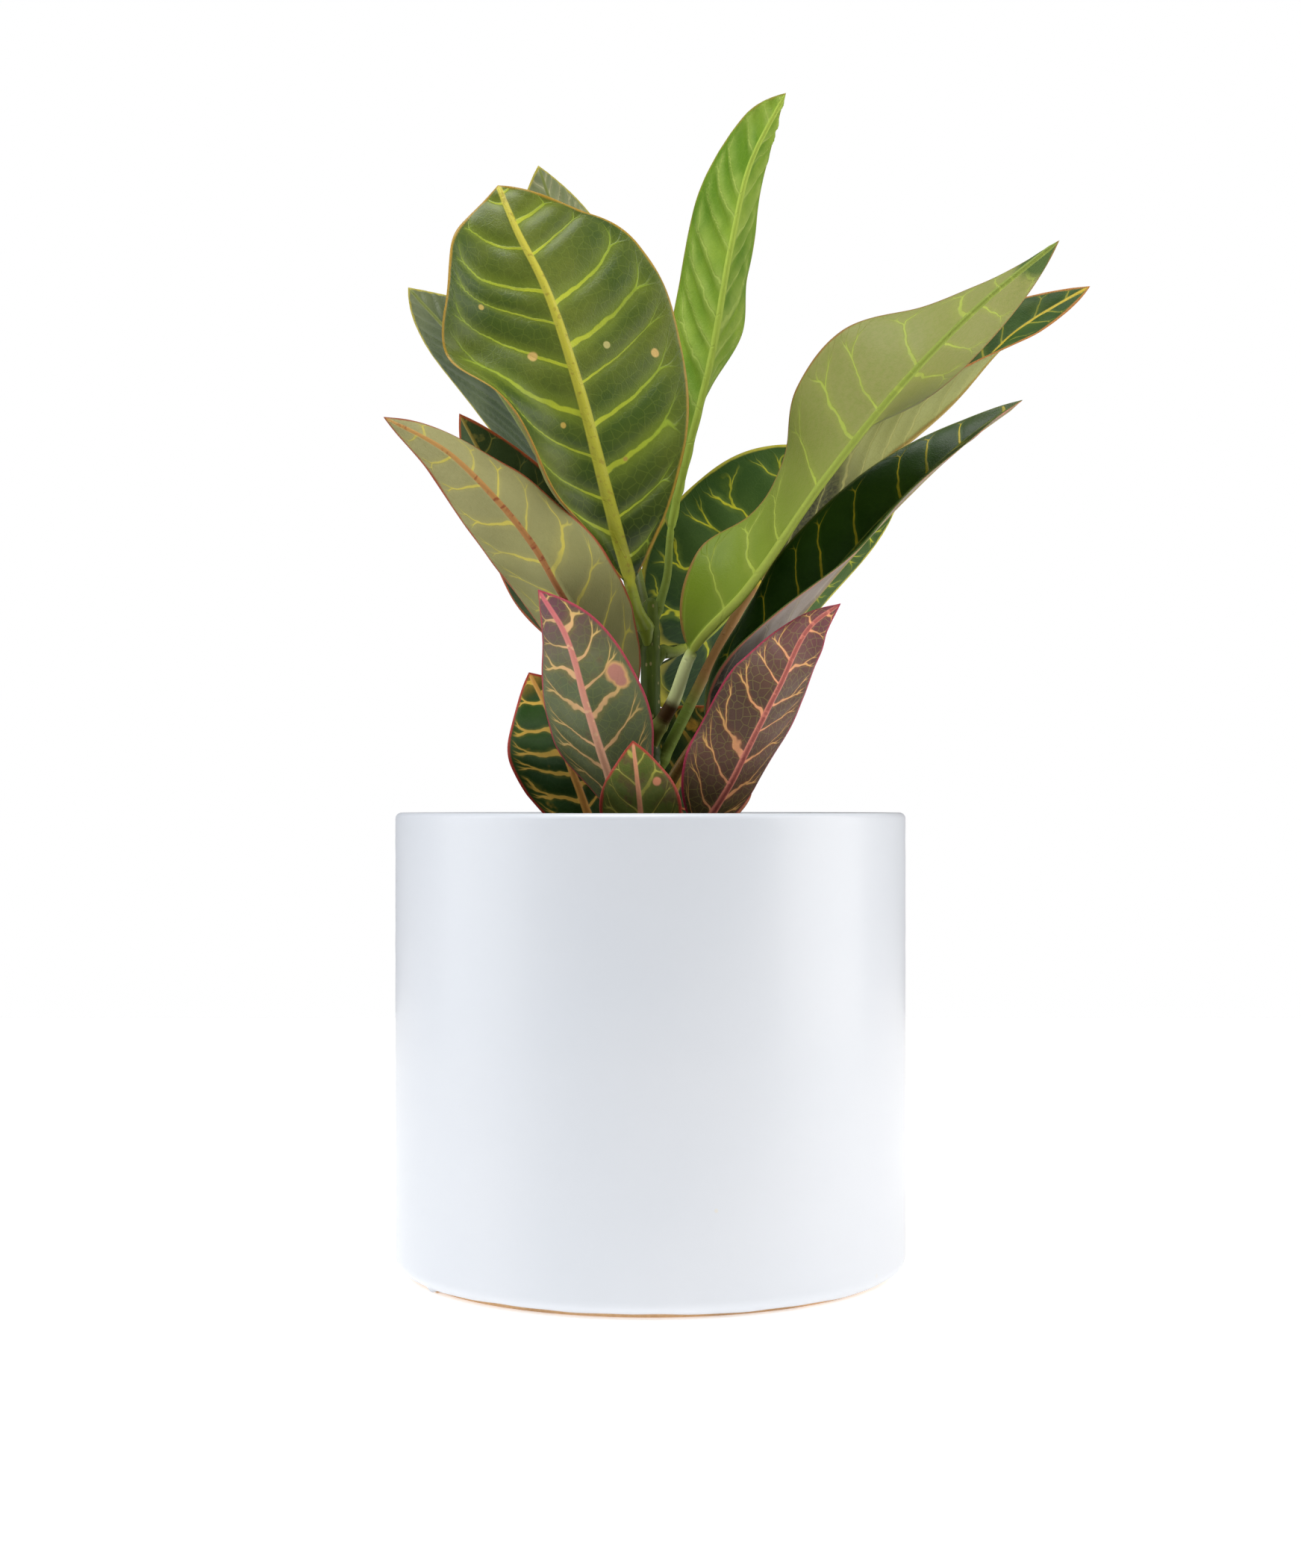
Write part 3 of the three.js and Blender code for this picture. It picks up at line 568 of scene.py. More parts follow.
# In mm: how far a petiole goes on inside the stem, its radius there, at the stem and at the blade, and half
# the blade's thickness at its edge. Then the steps from the midrib to the edge, and those of the curl
IN_STEM = 6.0
DEEPEST = 6.5
STALK_RADII = (0.9, 1.7, 1.35)
EDGE_HALF = 0.16
OUTER_STEPS = 19
CURL_STEPS = 12


def grow_leaf(cad_node, seed, looks, line, width, widest, left, right, wave, spacing, upper="front",
              base=2, base_power=2.0, tip_power=2.0, cup=((0,), (0,)), stalk=1.0, lobes=(0, 0), quilt=0.35,
              lean=0.55, bend=0.35):
    """One leaf in mm, from its line, width and turn of each half, on the same formula as its solid.

    The blade begins at point number base of the line. left and right are the degrees that each half turns
    about the midrib, from base to tip, and cup is how many more it turns out to its edge. wave is the height,
    the count and the start of the waves, lobes how far each half reaches back, and quilt how much the skin
    puffs up between the laterals, which leave the midrib every spacing mm. They lean and bend to the tip, in
    the same way on both halves or with a value for each. upper is the face that is to the viewer's front.
    """
    lean, bend = np.broadcast_to(lean, 2), np.broadcast_to(bend, 2)
    rng = np.random.default_rng(seed)
    line = np.array(line, float)
    knots = np.concatenate([[0], np.cumsum(np.linalg.norm(np.diff(line, axis=0), axis=1))])
    foot, length = knots[base], knots[-1]
    blade = length - foot
    s = np.concatenate([
        np.arange(-IN_STEM, foot, 0.75),
        foot + np.arange(0, 0.07 * blade, 0.45),
        foot + np.linspace(0.07, 0.93, int(blade * 0.86 / 1.05)) * blade,
        foot + np.linspace(0.937, 0.996, 12) * blade,
    ])
    t = np.clip((s - foot) / blade, 0, 1)

    def trace(at):
        """The midrib, and below the petiole's foot the way down into the stem."""
        there = smooth_line(line, knots, np.clip(at, 0, length))
        down = np.clip(-at, 0, DEEPEST)
        there[:, :2] *= (1 - 0.72 * (down / DEEPEST) ** 1.2)[:, None]
        there[:, 2] -= down * 0.85
        return there

    origin = trace(s)
    along = trace(np.minimum(s + 0.6, length)) - trace(s - 0.6)
    along /= np.linalg.norm(along, axis=1)[:, None]
    across = np.cross(along, (0, 1, 0))
    across /= np.linalg.norm(across, axis=1)[:, None]
    away = np.cross(across, along)
    away *= np.where(away[:, 1] < 0, -1, 1)[:, None]

    # Half width of the blade, radius of the petiole and midrib, and where the one turns into the other
    x = np.where(t < widest, (widest - t) / widest, (t - widest) / (1 - widest))
    half_width = width * (1 - np.clip(x, 0, 1) ** np.where(t < widest, base_power, tip_power))
    half_width = np.where(s > foot, half_width, 0.0)
    thick = stalk * np.interp(s, [-IN_STEM, 0, foot], STALK_RADII)
    rib = thick * (1 - 0.75 * t)
    join = np.where(t > widest, 1.0, eased(half_width / (2.2 * thick)))
    lobed = 1 - eased((t - 0.06) / 0.24)
    swell = 1 + 0.22 * np.exp(-((s - 0.6) / 1.8) ** 2)
    full = np.minimum(1, half_width / 9)

    # The middle of the blade: each row runs from the left edge over the midrib to the right edge
    inner = np.minimum(rib / np.maximum(half_width, 0.01), 0.4)
    half_row = [(k / OUTER_STEPS, True) for k in range(OUTER_STEPS, 0, -1)]
    half_row += [(q, False) for q in (1.0, 0.7, 0.38)]
    cross = [(1, *at) for at in half_row] + [(0, 0, False)] + [(-1, *at) for at in half_row[::-1]]
    n, m = len(s), len(cross)
    middle = np.zeros((n, m, 3))
    facing = np.zeros((n, m, 3))
    shares = np.zeros((n, m))
    laterals = np.zeros((n, m))
    signs = np.array([side if side else 1 for side, _, _ in cross], float)
    jitter = rng.normal(0, 1, 6)
    for j, (side, q, beyond) in enumerate(cross):
        half = 0 if side >= 0 else 1
        sign = (1, -1)[half]
        u = inner + (1 - inner) * q if beyond else inner * q
        turn, more = evenly((left, right)[half], t), evenly(cup[half], t)
        p, r = np.zeros(n), np.zeros(n)
        for k in range(CURL_STEPS):
            angle = np.radians(turn + more * u * (k + 0.5) / CURL_STEPS)
            p += np.cos(angle) * u / CURL_STEPS
            r += np.sin(angle) * u / CURL_STEPS
        angle = np.radians(turn + more * u)
        front = np.stack([sign * np.sin(angle), -np.cos(angle)], 1)
        phase = 2 * np.pi * (wave[1] * t + wave[2] + 0.25 * half)
        lift = wave[0] * u**2 * np.sin(phase) * np.minimum(1, 2 * half_width / width)
        # Laterals lean and curve to the tip, each a little out of step with the next
        out = u * half_width
        count = (s - foot - lean[half] * out - bend[half] * out * u**2) / spacing
        count += 0.13 * np.sin(1.7 * count + jitter[0] + 2 * side) + 0.08 * np.sin(4.1 * count + jitter[1])
        count += 0.5 + 0.38 * half + 20
        vein = (0.5 + 0.5 * np.cos(2 * np.pi * (count - 0.5))) ** 2
        puff = quilt * (0.4 - vein) * np.clip(5 * u * (1 - u), 0, 1) * full
        ripple = 0.25 * np.sin(s / 7.3 + jitter[2] + 5 * u + 2 * side) * u * full
        lift += (puff if upper == "front" else -puff) + ripple
        back = lobes[half] * lobed * u**2 * join
        flat = origin + across * (sign * p * half_width + front[:, 0] * lift)[:, None]
        flat += away * (r * half_width + front[:, 1] * lift)[:, None] - along * back[:, None]
        middle[:, j] = flat
        facing[:, j] = across * front[:, :1] + away * front[:, 1:]
        shares[:, j] = u
        laterals[:, j] = count
    facing[:, m // 2] = facing[:, m // 2 - 1] + facing[:, m // 2 + 1]
    facing /= np.linalg.norm(facing, axis=2)[:, :, None]
    normal = np.cross(np.gradient(middle, axis=0), np.gradient(middle, axis=1))
    size = np.linalg.norm(normal, axis=2)[:, :, None]
    normal = np.where(size > 1e-4, normal / np.maximum(size, 1e-9), facing)
    normal *= np.where((normal * facing).sum(2) < 0, -1, 1)[:, :, None]

    # The skins lie on both sides of that middle: thin at the edge, and thick over the midrib's round keel
    outs = shares * half_width[:, None]
    rib_part = np.clip(1 - (outs / np.maximum(rib, 0.01)[:, None]) ** 2, 0, 1) ** 0.5
    finer = np.where(t > 0.5, np.clip(half_width / 2.5, 0.25, 1), 1.0)[:, None]
    taper = np.interp(shares, [0, 0.9, 1], [0.3, 0.26, EDGE_HALF]) * finer
    under = taper + 1.05 * (1 - 0.7 * t)[:, None] * rib_part * finer
    over = taper + 0.22 * rib_part * (1 - 0.6 * t)[:, None] * finer
    to_front, to_back = (over, under) if upper == "front" else (under, over)
    turns = np.radians(np.linspace(6, 174, m))
    radius = (thick * swell)[:, None]
    mix_in = join[:, None, None]

    def placed(offset, way):
        """The skin on one side: round on the petiole, and flat on the blade."""
        round_skin = origin[:, None] + across[:, None] * (radius * np.cos(turns))[:, :, None]
        round_skin = round_skin + away[:, None] * (way * radius * np.sin(turns))[:, :, None]
        return round_skin * (1 - mix_in) + (middle - way * normal * offset[:, :, None]) * mix_in

    edges = []
    for j, k, way in ((0, 1, 1), (m - 1, m - 2, -1)):
        outward = middle[:, j] - middle[:, k]
        outward /= np.maximum(np.linalg.norm(outward, axis=1), 1e-6)[:, None]
        flat_edge = middle[:, j] + EDGE_HALF * finer * outward
        edges.append((origin + across * radius * way) * (1 - join)[:, None] + flat_edge * join[:, None])
    sides = [placed(to_front, -1).reshape(-1, 3), placed(to_back, 1).reshape(-1, 3)]
    points = np.concatenate([*sides, *edges, [line[-1]], [origin[0]]])
    points = np.clip(points, np.array(CAD_LOW) * 1000 + 0.02, np.array(CAD_HIGH) * 1000 - 0.02)
    index = np.arange(n * m).reshape(n, m)
    rear = index + n * m
    left_edge = 2 * n * m + np.arange(n)
    right_edge = left_edge + n
    tip = 2 * n * m + 2 * n
    start = tip + 1
    faces, slots = [], []
    front_slot, back_slot = (0, 1) if upper == "front" else (1, 0)

    def strip(a, b, which):
        """A row of faces between two rows of points."""
        faces.extend(np.stack([a[:-1], a[1:], b[1:], b[:-1]], 1).tolist())
        slots.extend([which] * (len(a) - 1))

    for j in range(m - 1):
        strip(index[:, j], index[:, j + 1], front_slot)
        strip(rear[:, j + 1], rear[:, j], back_slot)
    strip(left_edge, index[:, 0], 0)
    strip(rear[:, 0], left_edge, 0)
    strip(index[:, -1], right_edge, 0)
    strip(right_edge, rear[:, -1], 0)
    loop = np.stack([left_edge, *index.T, right_edge, *rear.T[::-1]])
    for a, b in zip(loop, np.roll(loop, -1, axis=0)):
        faces.append([int(a[-1]), tip, int(b[-1])])
        faces.append([int(a[0]), int(b[0]), start])
        slots += [0, 0]

    # What the skin's pattern reads: mm along and beside the midrib, laterals, and mm from the edge
    slope = np.sqrt(1 + np.gradient(half_width, s) ** 2)
    edge_mm = (1 - shares) * (half_width / slope)[:, None] + 5 * (1 - join)[:, None]
    edge_mm = np.minimum(edge_mm, ((1.0 - t) * blade * 0.6)[:, None] + 0.15)
    mm = np.stack([np.repeat((s - foot)[:, None], m, 1), outs * signs, np.repeat(t[:, None], m, 1)], 2)
    layers = {}
    for layer, data in (("leaf_mm", mm), ("leaf_veins", np.stack([laterals, edge_mm, shares], 2))):
        flat = data.reshape(-1, 3)
        ends = [data[-1, m // 2], data[0, m // 2]]
        layers[layer] = np.concatenate([flat, flat, data[:, 0], data[:, -1], ends])
    skins = []
    for side, relief, look in zip(("upper", "under"), (-0.8, 1.0), looks):
        look = {"relief": relief, **look, "spacing": spacing, "petiole_mm": max(foot, 6.0)}
        look["grown"] = 61.0 * seed
        skins.append(leaf_face(f"{cad_node}_{side}_cuticle", look))
    stand_for(shape("grown_" + cad_node, points, faces, skins, slots, layers), cad_node)


# Upper cuticle of a young leaf: fresh green with a soft shine
YOUNG_UPPER = dict(
    ground=("#4b6d22", "#64862c"), vein=("#b9bf55", 0.3, 0.8, 0.3), halo=("#7f9c3c", 1.8, 0.5),
    net=("#8aa348", 2.2, 0.15), midrib=("#b4c254", 0.9), margin=("#a08a32", 0.35),
    petiole=("#93a544", "#6d8030"), roughness=0.36, wax=0.15,
)
# Its underside: paler and matt, with wide light bands along the laterals, partly painted light on the pleats
YOUNG_UNDER = dict(
    ground=("#577c0c", "#86a030"), vein=("#a9bb5a", 0.22, 0.6, 0.5), halo=("#a4b858", 2.6, 0.7),
    net=("#93a944", 2.2, 0.12), midrib=("#a2b848", 1.2), margin=("#8a8a30", 0.35),
    petiole=("#93a544", "#6d8030"), roughness=0.5, relief=1.2,
)
grow_leaf(
    "leaf_tall_centre", seed=1, upper="back", looks=(YOUNG_UPPER, YOUNG_UNDER),
    line=[(2, 2, 181), (4.5, 4.5, 190), (5.5, 6, 202), (10.5, 8, 225), (17, 9, 252), (22.5, 8, 283),
          (28, 6, 306), (37.5, 2, 324)],
    width=25, widest=0.62, tip_power=2.4, stalk=0.75, left=[48, 48, 50, 56, 57, 58, 58, 50, 20],
    right=[97, 97, 97, 88, 71, 77, 77, 78, 90], wave=(0.8, 3, 0), spacing=9, lean=0.85, bend=0.2, quilt=1.3,
)

# Leaf, broad, front left: a full-grown leaf with a strong yellow midrib and forked laterals 12 mm apart. It
# grew on a short thick petiole, and its left half is cupped, so that the edge turns to the viewer.

# Glossy upper cuticle: olive with bright yellow lines, darker at its foot, and six tan specks
YELLOW_VEINED = dict(
    ground=("#40541a", "#636f26"), foot=("#243506", 0.4, 0.06), vein=("#b8c034", 0.46, 0.95, 0.25),
    vein_tip="#86a034", halo=("#7b8c2a", 2.8, 0.6), net=("#7c8c34", 2.6, 0.2), fork=0.7, zigzag=1.4,
    spots=[(66.6, 9.5, 1.5, "#cfae66"), (59.2, -24.4, 1.4, "#cfae66"), (84.7, 18.7, 1.1, "#b8a050"),
           (64.5, -11.2, 1.0, "#b4ac6c"), (46.4, 7.2, 1.0, "#b59a48"), (33.7, -7.4, 0.9, "#a89044")],
    midrib=("#a6a834", 1.95), midrib_tip="#c6bc44", rib_fleck="#9a8a34", margin=("#a8862e", 0.36),
    petiole=("#96a238", "#7a8a2c"), roughness=0.36, gloss=0.34,
)
# Underside of an old leaf: matt grey-olive with dull veins
GREY_UNDER = dict(
    ground=("#75743a", "#8d8946"), vein=("#a8a060", 0.3, 0.6, 0.3), halo=("#a0984e", 1.6, 0.35),
    net=("#6f6c3c", 2.4, 0.2), midrib=("#a9a552", 1.3), margin=("#a5702f", 0.6),
    petiole=("#a3a83e", "#7c8230"), roughness=0.55,
)
grow_leaf(
    "leaf_broad_front", seed=2, looks=(YELLOW_VEINED, GREY_UNDER),
    line=[(-1.3, -2.9, 175.5), (-4, -6.2, 181), (-5.4, -8, 186.5), (-12, -12, 212), (-20, -15, 242),
          (-29, -15, 268), (-36, -13, 282), (-41.5, -9, 295.5)],
    width=33.5, widest=0.6, tip_power=2.6, stalk=1.2, left=[10], right=[5, 0, 10, 18, 21, 21, 24, 20, 0],
    cup=((-90, -122, -118, -115, -100, -57, -68, -62, -10), (0,)), wave=(1, 2.5, 0.1), spacing=12,
    lean=(0.65, 0.33), bend=(0.35, 0.2), quilt=0.9,
)

# Leaf, upright, at the back: tissue in close pleats, of which the viewer sees the tip alone. It grew from
# the back of the stem and stands behind the broad front leaf.

# Underside of a dark leaf: matt grey-green with faint veins
DARK_UNDER = dict(
    ground=("#6c7654", "#858c64"), vein=("#99a06c", 0.25, 0.6, 0.3), halo=("#8e9668", 1.4, 0.3),
    net=("#5f6a48", 2.2, 0.2), midrib=("#a0944c", 1.1), margin=("#9a6432", 0.4),
    petiole=("#7d7f3a", "#565f26"), roughness=0.55,
)
# Upper cuticle in pleats: dark grey-green with low contrast and a thin yellow edge
PLEATED = dict(
    ground=("#3c4b2c", "#5a6743"), foot=("#2a3c20", 0.8, 0.3), tip=("#727a54", 0.82, 1.0),
    vein=("#6d7a50", 0.22, 0.4, 0.4), halo=("#67744c", 1.8, 0.35), net=("#52623e", 2.2, 0.1),
    midrib=("#7c8648", 0.7), margin=("#b0a544", 0.55), petiole=("#77843c", "#59652a"), roughness=0.4,
    wax=0.1,
)
# The same in a paler grey-green that is a painted sheen, with more light bands: painted light on the pleats
PLEATED_PAINTED_SHEEN = dict(
    PLEATED, ground=("#737f52", "#a3a876"), vein=("#c0be94", 0.3, 0.7, 0.2), halo=("#b4b488", 1.6, 0.6),
)
grow_leaf(
    "leaf_back_upright", seed=3, looks=(PLEATED_PAINTED_SHEEN, DARK_UNDER),
    line=[(-1, 2.5, 178), (-2.5, 8, 186), (-4, 14, 194), (-8, 30, 230), (-20, 40, 275), (-33, 42, 315)],
    width=20, widest=0.6, tip_power=3, left=[20], right=[25, 25, 45], wave=(1, 2, 0), spacing=5.5, lean=1.3,
    bend=0.6, quilt=0.8,
)

# Leaf, left, behind the broad one: grey-green tissue in long pleats. It grew from the stem's left on a
# petiole that climbs beside the stem, and leans out to the upper left.
grow_leaf(
    "leaf_back_left", seed=4, looks=(PLEATED, DARK_UNDER),
    line=[(-2.5, 1, 171), (-6.5, 5, 181), (-11, 10, 190), (-28, 21, 220), (-46, 28, 249), (-70, 30, 276.5)],
    width=20, widest=0.6, tip_power=3, left=[75, 72, 70, 45], right=[20, 20, 20, 50], wave=(1, 2, 0),
    spacing=7.5, lean=1.4, bend=0.6, quilt=0.7,
)

# Leaf, broad, behind the right-hand leaves: the darkest of the full-grown ones. It grew from the stem's
# right, and both halves reach back beside its short petiole.

# Upper cuticle: deep green, half matt, with bright yellow zigzag laterals and a yellow edge
# Its darker foot, near the petiole, is painted shade
DARK_UPPER = dict(
    ground=("#34501c", "#486228"), foot=("#1d3812", 0.34, 0.1), vein=("#c6c430", 0.46, 0.95, 0.4),
    halo=("#6a8030", 1.6, 0.6), net=("#4e682c", 2.4, 0.16), fork=0.55, zigzag=4.5, midrib=("#8f9a34", 0.9),
    margin=("#b4ac3c", 0.55), petiole=("#7f8a38", "#5c6a28"), roughness=0.5, gloss=0.16,
)
grow_leaf(
    "leaf_broad_back", seed=5, looks=(DARK_UPPER, DARK_UNDER),
    line=[(3, 1.5, 169.5), (6, 5, 169.5), (9, 11, 171), (13.5, 15, 173.2), (27.5, 25, 187), (52, 38, 208),
          (75.5, 46, 224)],
    width=34, widest=0.47, base_power=3, tip_power=2.3, lobes=(12, 17), left=[0, 0, 5], right=[40, 60, 46],
    wave=(1, 2, 0), spacing=13, lean=(-0.3, 0.3), bend=(0.2, 0.3), quilt=0.5,
)

# Leaf, large, right: it turns its underside with a keel-like midrib to the viewer, and its petiole has a dark
# knuckle near the stem. The dark patch at the tip stands for the face that the real blade shows there.

# Upper cuticle: mid green with a soft shine and yellow-green veins
GREEN_UPPER = dict(
    ground=("#2d4a1c", "#47682c"), vein=("#9fa83c", 0.35, 0.85, 0.4), halo=("#56742c", 1.8, 0.5),
    net=("#486426", 2.4, 0.2), midrib=("#a3b04a", 1.0), margin=("#8f6f30", 0.4),
    petiole=("#b9c266", "#8f9c3e"), roughness=0.36, wax=0.2,
)
# Underside: light olive that turns browner towards the tip, matt, with a nearly white petiole
# Its petiole is pale green, painted nearly white as a highlight
OLIVE_UNDER = dict(
    ground=("#6b811c", "#768a2a"), tip=("#8b8d4e", 0.14, 0.58), vein=("#a8b84a", 0.34, 0.8, 0.35),
    halo=("#98a245", 1.8, 0.35), net=("#7d8a36", 2.4, 0.12), spots=[(141, 1, 9.5, "#4a6128")],
    midrib=("#a0ae48", 1.1), midrib_tip="#7f903c", margin=("#8a6a34", 0.4), petiole=("#dfeaa6", "#7c8440"),
    petiole_turn=(-14, -20), petiole_joint=("#4a3416", -17.5, 5.0), roughness=0.5, relief=1.2,
)
grow_leaf(
    "leaf_broad_right", seed=6, upper="back", looks=(GREEN_UPPER, OLIVE_UNDER),
    line=[(2, -3, 148), (6, -6, 155), (11, -11, 168), (25.5, -20, 184), (45.5, -31, 212), (68, -40, 239),
          (86.5, -44, 257), (105, -44, 272)],
    width=26, widest=0.55, base_power=5, stalk=1.2, left=[0, 25, 60, 62, 34, 30, 58, 68, 80],
    right=[88, 88, 88, 87, 86, 78, 68, 58, 50], cup=((0,), (60, 60, 30, 0, 0, 0)), wave=(0.6, 3, 0),
    spacing=14, lean=0.2, bend=0.3, quilt=0.4,
)

# Leaf, long, right: a blade folded along its keel, whose tip reaches out furthest. It grew from the stem's
# right on a long petiole, brown at its foot, and its near half shows the underside.

# Upper cuticle: dark green with olive blotches and a yellow midrib
KEELED_UPPER = dict(
    ground=("#2a4416", "#425c26"), flush=("#465a20", 0.7, 18, 0.5), vein=("#a09a34", 0.35, 0.8, 0.4),
    halo=("#55702a", 1.5, 0.5), net=("#3f5a22", 2.4, 0.2), midrib=("#c8b03a", 1.1), margin=("#b0763a", 0.4),
    petiole=("#957043", "#6f8238"), petiole_turn=(-28, -40), roughness=0.45, gloss=0.15,
)
# Underside: matt grey-olive, nearly black at its foot, where the fold shades it
KEELED_UNDER = dict(
    ground=("#848848", "#94985a"), foot=("#25260c", 0.4, 0.25), vein=("#a2a05c", 0.28, 0.6, 0.3),
    halo=("#9c9c58", 1.4, 0.3), net=("#75743e", 2.2, 0.2), midrib=("#a08a48", 1.1), margin=("#a8683a", 0.5),
    petiole=("#957043", "#6f8238"), petiole_turn=(-28, -40), roughness=0.55,
)
grow_leaf(
    "leaf_long_right", seed=7, looks=(KEELED_UPPER, KEELED_UNDER),
    line=[(3, 1, 139), (9.5, 1, 152), (18.5, 2, 170), (29, 5, 188), (56.5, 9, 216), (84.5, 10, 240),
          (101, 8, 258), (122, 4, 271)],
    base=3, width=18, widest=0.5, left=[35, 35, 30, 30, 20], right=[-115, -122, -125, -122, -100, -70, -30],
    wave=(0.6, 3, 0), spacing=9, lean=0.7, bend=0.4, quilt=0.4,
)

# Leaf, narrow, dark, right: its laterals run nearly upright, and the near half is folded up into a thin
# band. It grew from the stem's right side on a brown petiole, below the others.

# Glossy upper cuticle: very dark green with broken bright yellow lines
GLOSSY_UPPER = dict(
    ground=("#1e3c0d", "#304f18"), tip=("#38491f", 0.7, 1.0), vein=("#cdb62c", 0.42, 0.95, 0.5),
    halo=("#48681e", 1.4, 0.5), net=("#35521a", 2.4, 0.16), fork=0.75, midrib=("#77833a", 0.7),
    margin=("#54602a", 0.3), petiole=("#8a5a34", "#4b5a1c"), roughness=0.38, gloss=0.26,
)
# Underside: matt, grey with a touch of violet, and a pinkish brown edge
BAND_UNDER = dict(
    ground=("#7d7268", "#9a9087"), foot=("#343a30", 0.3, 0.08), vein=("#a3977c", 0.25, 0.6, 0.3),
    halo=("#94886c", 1.2, 0.3), net=("#857a62", 2.2, 0.18), midrib=("#9a8a50", 0.8),
    margin=("#b8735c", 0.7), petiole=("#8a5a34", "#4b5a1c"), roughness=0.55,
)
grow_leaf(
    "leaf_narrow_right", seed=8, looks=(GLOSSY_UPPER, BAND_UNDER),
    line=[(2, -3, 127), (7, -6, 136), (15, -9, 148), (41.5, -14, 180), (65, -16, 206.5), (86, -14, 226),
          (101, -10, 237)],
    width=16, widest=0.52, base_power=4, left=[15, 33, 36, 25, 25, 31, 40, 40, 36],
    right=[-140, -130, -112, -98, -89, -88, -88, -88, -88], wave=(0.6, 3, 0), spacing=13, lean=0.7,
    bend=0.3, quilt=0.4,
)

# Leaf, pale, left: its underside is to the viewer, with a midrib that goes from dark red to tan towards the
# tip. It grew from the left of the stem and leans out over the rim.

# Upper cuticle, turned away from the viewer: dull green with tan veins
DULL_UPPER = dict(
    ground=("#3a4a22", "#55622e"), vein=("#b09a50", 0.35, 0.8, 0.5), halo=("#6d7836", 1.6, 0.5),
    net=("#56622e", 2.4, 0.2), midrib=("#b88a48", 0.9), margin=("#8a3222", 0.5),
    petiole=("#8a8440", "#5d6228"), roughness=0.38, wax=0.15,
)
# Underside: pale grey-olive, matt and chalky, with yellow veins and a dark red edge
PALE_UNDER = dict(
    ground=("#807f50", "#92905c"), tip=("#9c9868", 0.4, 0.95), vein=("#c3b650", 0.4, 0.9, 0.45),
    halo=("#aca45c", 1.6, 0.35), net=("#8f8856", 2.2, 0.16), midrib=("#7a2f1f", 0.5), midrib_tip="#b98f50",
    margin=("#93482c", 0.3), petiole=("#8f8a45", "#5d6228"), roughness=0.55, relief=1.1,
)
grow_leaf(
    "leaf_pale_left", seed=9, upper="back", looks=(DULL_UPPER, PALE_UNDER),
    line=[(-1, -3, 143), (-2.5, -5, 149), (-5, -8, 156), (-15.5, -17, 171), (-22.5, -24, 181.5),
          (-31, -31, 195.5), (-42, -36, 208.5), (-52.5, -36, 218.5), (-69.5, -36, 228)],
    width=15.3, widest=0.4, base_power=4, left=[48, 48, 48, 49, 41, 34, 31, 22, 15],
    right=[25, 15, 8, 3, 29, 40, 47, 40, 20], wave=(0.6, 3, 0), spacing=12, lean=0.6, bend=0.4,
)

# Leaf, dark, behind the pale one: dark tissue with a red and orange edge. It grew from the left of the stem,
# a little below and behind the pale leaf.

# Upper cuticle: dark green, half matt, with yellow flecks of 5 mm
FLECKED = dict(
    ground=("#2c3d1c", "#435430"), flush=("#8d8440", 0.55, 5, 0.62), vein=("#8f8a3c", 0.28, 0.6, 0.7),
    halo=("#566034", 1.4, 0.4), net=("#4c5a30", 2.4, 0.12), midrib=("#8c7c3a", 0.7),
    margin=("#a4502c", 0.5), petiole=("#7a7a36", "#4f5a24"), roughness=0.48, gloss=0.15,
)
grow_leaf(
    "leaf_dark_left", seed=10, looks=(FLECKED, DARK_UNDER),
    line=[(-3, 0, 141), (-5.5, 1, 148), (-8, 1, 155.5), (-25, 0, 185), (-38, -1, 208), (-52.5, -3, 234.5)],
    width=17, widest=0.5, left=[50, 48, 45, 35], right=[10], wave=(0.6, 3, 0), spacing=10,
)

# Leaf, spotted, behind the petiole bases: it grew from the back of the stem on a short petiole, and fills
# the gap behind the others.

# Upper cuticle: nearly black green with orange-yellow blotches of 8 mm and a soft shine
BLOTCHED = dict(
    ground=("#1d2f13", "#33471e"), flush=("#b98f38", 0.95, 8, 0.56), vein=("#b5923c", 0.4, 0.85, 0.6),
    halo=("#6a7030", 1.6, 0.5), net=("#3f5024", 2.4, 0.2), midrib=("#b08a3c", 0.9), margin=("#a85a2c", 0.5),
    petiole=("#7a7a36", "#4f5a24"), roughness=0.4, wax=0.15,
)
grow_leaf(
    "leaf_spotted_back", seed=11, looks=(BLOTCHED, DARK_UNDER),
    line=[(1, 3, 122), (3, 8, 124), (5, 11, 127), (11, 14, 142), (17, 12.5, 155)], width=19, widest=0.5,
    base_power=3, left=[10, 0, -15], right=[10], wave=(0.6, 2, 0), spacing=9,
)

# Leaf, front left: an old leaf with thick veins and a red edge. It grew low on the stem, and its petiole
# curves out and up towards the viewer.

# Upper cuticle of an old leaf: olive turning maroon, with cream and pink veins and a pink blotch
PINK_VEINED = dict(
    ground=("#505c3a", "#6f7552"), tip=("#6f4650", 0.6, 0.95), flush=("#70503f", 0.4, 14, 0.58),
    vein=("#edb888", 0.46, 0.95, 0.25), vein_tip="#d0b468", halo=("#8c7c40", 1.1, 0.5),
    net=("#7d8448", 2.3, 0.3), fork=0.5, zigzag=3.6,
    spots=[(42, -9.6, 3.4, "#d8aa70"), (39.5, -10.4, 2.6, "#d8aa70"), (42, -9.6, 2.6, "#b98070"),
           (39.5, -10.4, 1.8, "#b98070")],
    midrib=("#e8bd92", 1.3), midrib_tip="#c4606a", margin=("#a83c4c", 0.34), petiole=("#a06a50", "#6a5a34"),
    roughness=0.45, gloss=0.25,
)
